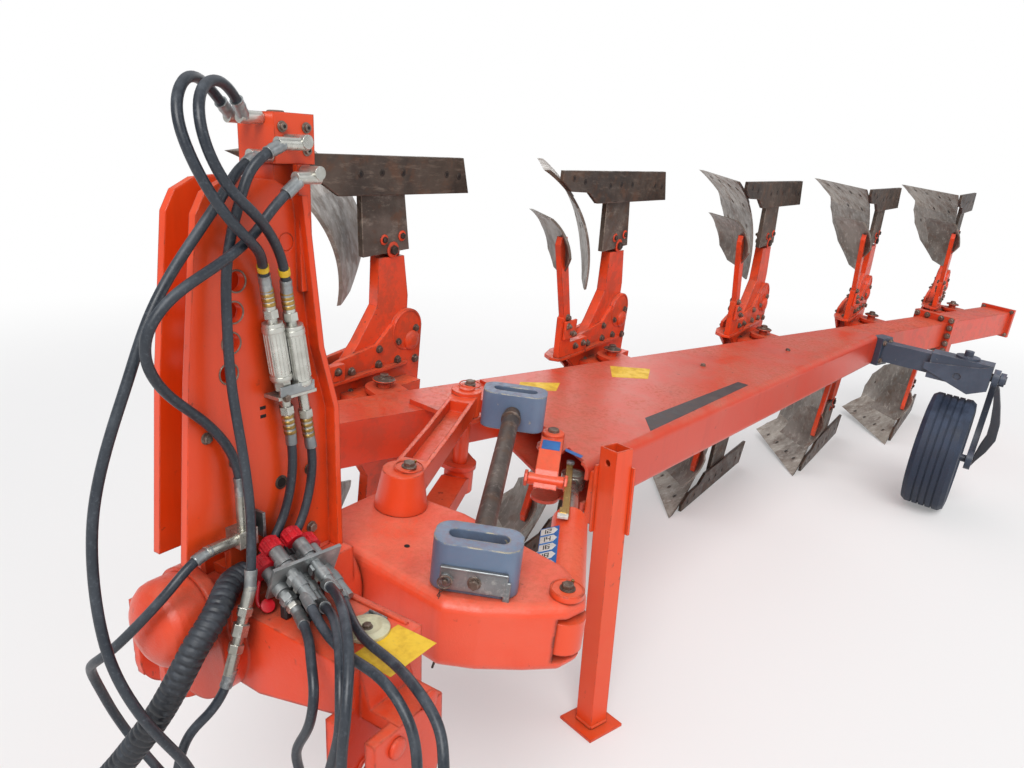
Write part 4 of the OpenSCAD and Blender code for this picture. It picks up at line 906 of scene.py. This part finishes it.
for i, side in product(range(1, 6), (0, 1)):
    axes, body = body_axes(i, side), "body_%d" % i
    tag = "%d_%s" % (i, "low" if side else "up")
    leg = Piece("leg_bolts_" + tag, body, axes)
    leg.bolts(LEG_BOLTS, LEG_LEFT)
    leg.bolts(LEG_BOLTS, LEG_RIGHT, -1, stud=6)
    # Collar round the trip pivot, with its shear bolt
    leg.turned((-215, -84.6, 165), LEFT, [(-4, 34), (4, 34), (8, 29), (9, 20), (11, 18), (12, 10)], "leg", 40)
    leg.ring((-190, -85.5, 205), LEFT, 66, 3.2, "leg", 48, 8)
    # Bolted base plate
    for x, y in BASE_XY:
        leg.bolt((x, y, 99), UP, 12)
    leg.make()
    frog = Piece("frog_bolts_" + tag, body, axes)
    for x, z, size in FROG_BOLTS:
        frog.turned((x, FROG_LEFT, z), LEFT, [(0, size * 1.3), (2.5, size * 1.3), (3, size * 1.2)], "leg", 28)
        frog.bolt((x, FROG_LEFT + 2.7, z), LEFT, size * 0.86, "dark_bolt", washer=False)
    frog.bolts(FROG_BOLTS, FROG_RIGHT, -1, stud=7)
    # Plough bolts in the landside, each with a dark square of painted shade on its head
    for x, z in LANDSIDE_XZ:
        frog.turned((x, LANDSIDE_FACE, z), LEFT, [(0, 11), (0.7, 11), (1.0, 9.6)], "dark_bolt", 24)
        # Painted shade: a dark square laid on each head
        frog.box((x - 5, LANDSIDE_FACE + 0.8, z - 5), (x + 5, LANDSIDE_FACE + 1.2, z + 5), "shade", 0.2)
    frog.make()
    # Plough bolts on the curved share and moldboard, laid flush on their faces, each with a small dark square of
    # painted shade
    shape = nodes["bottoms_%d" % i].data
    target = BVHTree.FromPolygons([v.co for v in shape.vertices], [list(f.vertices) for f in shape.polygons])
    face = Piece("face_bolts_" + tag, body)
    for y, z in FACE_YZ:
        origin, aim = axes @ Vector((1.1, y / 1000, z / 1000)), (axes.to_3x3() @ Vector((-1, 0, 0))).normalized()
        where, normal, _, _ = target.ray_cast(origin, aim, 1.6)
        if where is None:
            continue
        if normal.dot(aim) > 0:
            normal = -normal
        face.turned(where * 1000, normal, [(-0.5, 11.5), (0.8, 11.5), (1.4, 9.5)], "bottom", 24)
        # Painted shade: a small dark square on each head
        face.turned(where * 1000 + normal * 1.3, normal, [(0, 4.6), (0.3, 4.4)], "shade", 4)
    if face.v:
        face.make()
    # Skimmer's stem: clamp bolts and the joint of its two parts
    skim = Piece("skimmer_bolts_" + tag, body, axes)
    skim.bolts(STEM_BOLTS, STEM_LEFT, stud=5)
    skim.bolts(STEM_BOLTS, STEM_RIGHT, -1)
    skim.box((224, STEM_LEFT, 168), (306, STEM_LEFT + 10, 238), "skim", 2)
    skim.bolts(((244, 186, 11), (286, 220, 11)), STEM_LEFT + 10, stud=6)
    skim.make()

# Depth wheel: clamp bolts, the bowed rib outside its arm, and its hub, with dark discs of painted shade round it
WHEEL = FRAME @ move(2.449, -0.8175, -0.42223) @ spin(-TURN, "Z")
clamp = Piece("wheel_clamp_bolts", "frame", FRAME)
for v, w in product((-440, -462), (46, -46)):
    clamp.bolt((2400, v, w), (1, 0, 0), 13, stud=8)
clamp.bolts([(u, w, 13) for u in (2320, 2378) for w in (46, -46)], -470.2, -1)
clamp.make()

UPRIGHT = WHEEL @ spin(90, "X") @ spin(90, "Y")
rib = Piece("wheel_arm_rib", "wheel_arm", UPRIGHT)
rib.plate([(151, 400), (166, 372), (192, 292), (213, 209), (217, 133), (194, 66), (164, 8), (151, -22), (151, 30),
           (160, 84), (174, 140), (172, 215), (160, 300), (151, 344)], -26, 26, "rim", edge=3)
rib.make()

hub = Piece("wheel_hub", "wheel", WHEEL)
for way in (1, -1):
    hub.turned((0, 70.2 * way, 0), (0, way, 0),
               [(-16, 60), (-12, 62), (-6, 62), (-2, 50), (6, 40), (12, 30), (15, 22)], "rim", 48)
    for k in range(6):
        a, b = math.radians(60 * k), math.radians(60 * k + 30)
        hub.bolt((52 * math.cos(a), 66 * way, 52 * math.sin(a)), (0, way, 0), 10)
        # Painted shade: dark discs on each face of the wheel's centre
        hub.turned((130 * math.cos(b), 12.2 * way, 130 * math.sin(b)), (0, way, 0), [(0, 22), (0.5, 21)], "shade", 30)
    hub.ring((0, 80 * way, 0), LEFT, 206, 4, "rim", 96, 8)
hub.make()

# Parking stand: the weld round its foot
FOOT = (-30, -30, 13), (30, -30, 13), (30, 30, 13), (-30, 30, 13)
stand = Piece("stand_details", "stand", Matrix.Translation(-CENTRE) @ spin(TURN, "Z") @ move(-0.126, -0.985, 0))
for k in range(4):
    stand.bead(FOOT[k], FOOT[(k + 1) % 4], 4, "stand")
stand.make()


# Floor, background and lights
def stage_material():
    """Pale floor that keeps the shadow near the plough and turns white far from it, for what the camera sees."""
    s = Shader("floor_pale")
    ray = s.new("LightPath").outputs
    mirrored = s.math("MAXIMUM", ray["Is Glossy Ray"], ray["Is Transmission Ray"])
    seen = s.math("MAXIMUM", ray["Is Camera Ray"], mirrored)
    away = s.new("VectorMath", Vector=s.at)
    away.operation = "LENGTH"
    far = s.ramp(away.outputs["Value"], 3.2, 7.5, 0.25, 1.0)
    s.finish((0.80, 0.79, 0.78), 0.9)
    white = s.new("Emission", Color=(1, 1, 1, 1), Strength=1.0)
    pick = s.new("MixShader")
    for k, part in enumerate((s.times(seen, far), s.bsdf.outputs[0], white.outputs[0])):
        s.put(pick.inputs[k], part)
    s.put(s.tree.nodes["Material Output"].inputs["Surface"], pick.outputs[0])
    return s.mat


MAT["floor"] = stage_material()
floor = Piece("floor", "stage")
floor.plate([(-16000, -16000), (16000, -16000), (16000, 16000), (-16000, 16000)], -12, -0.5, "floor", edge=0.1)
floor.make()

world = bpy.data.worlds.new("studio")
bpy.context.scene.world = world
world.use_nodes = True
wt = world.node_tree
back = wt.nodes["Background"]
back.inputs["Color"].default_value = (0.93, 0.95, 1.0, 1)
back.inputs["Strength"].default_value = 0.45
bright = wt.nodes.new("ShaderNodeBackground")
bright.inputs["Color"].default_value = (1, 1, 1, 1)
bright.inputs["Strength"].default_value = 1.0
rays = wt.nodes.new("ShaderNodeLightPath")
pick = wt.nodes.new("ShaderNodeMixShader")
wt.links.new(rays.outputs["Is Camera Ray"], pick.inputs[0])
wt.links.new(back.outputs[0], pick.inputs[1])
wt.links.new(bright.outputs[0], pick.inputs[2])
wt.links.new(pick.outputs[0], wt.nodes["World Output"].inputs["Surface"])


def lamp(name, at, aim, size, power, colour=(1, 1, 1)):
    data = bpy.data.lights.new(name, "AREA")
    data.shape = "SQUARE"
    data.size = size
    data.energy = power
    data.color = colour
    obj = placed(name, data)
    obj.location = at
    obj.rotation_euler = (Vector(aim) - Vector(at)).to_track_quat("-Z", "Y").to_euler()


lamp("key", (6.5, 2.5, 4.6), (0.8, 0.0, 0.6), 4.5, 110, (1, 0.98, 0.95))
lamp("side", (-1.0, 6.0, 4.2), (-0.6, 0.0, 0.6), 5.0, 80, (0.97, 0.98, 1))
lamp("top", (0.5, -1.0, 6.5), (0.3, 0.0, 0.5), 6.0, 50)
lamp("rim", (-5.0, -4.0, 4.0), (-0.8, 0, 0.8), 4.0, 70)

sun = placed("sun", bpy.data.lights.new("sun", "SUN"))
sun.data.energy = 1.9
sun.data.angle = 0.6
sun.rotation_euler = Vector((-0.62, -0.34, -0.7)).to_track_quat("-Z", "Y").to_euler()

bpy.context.scene.view_settings.view_transform = "Standard"
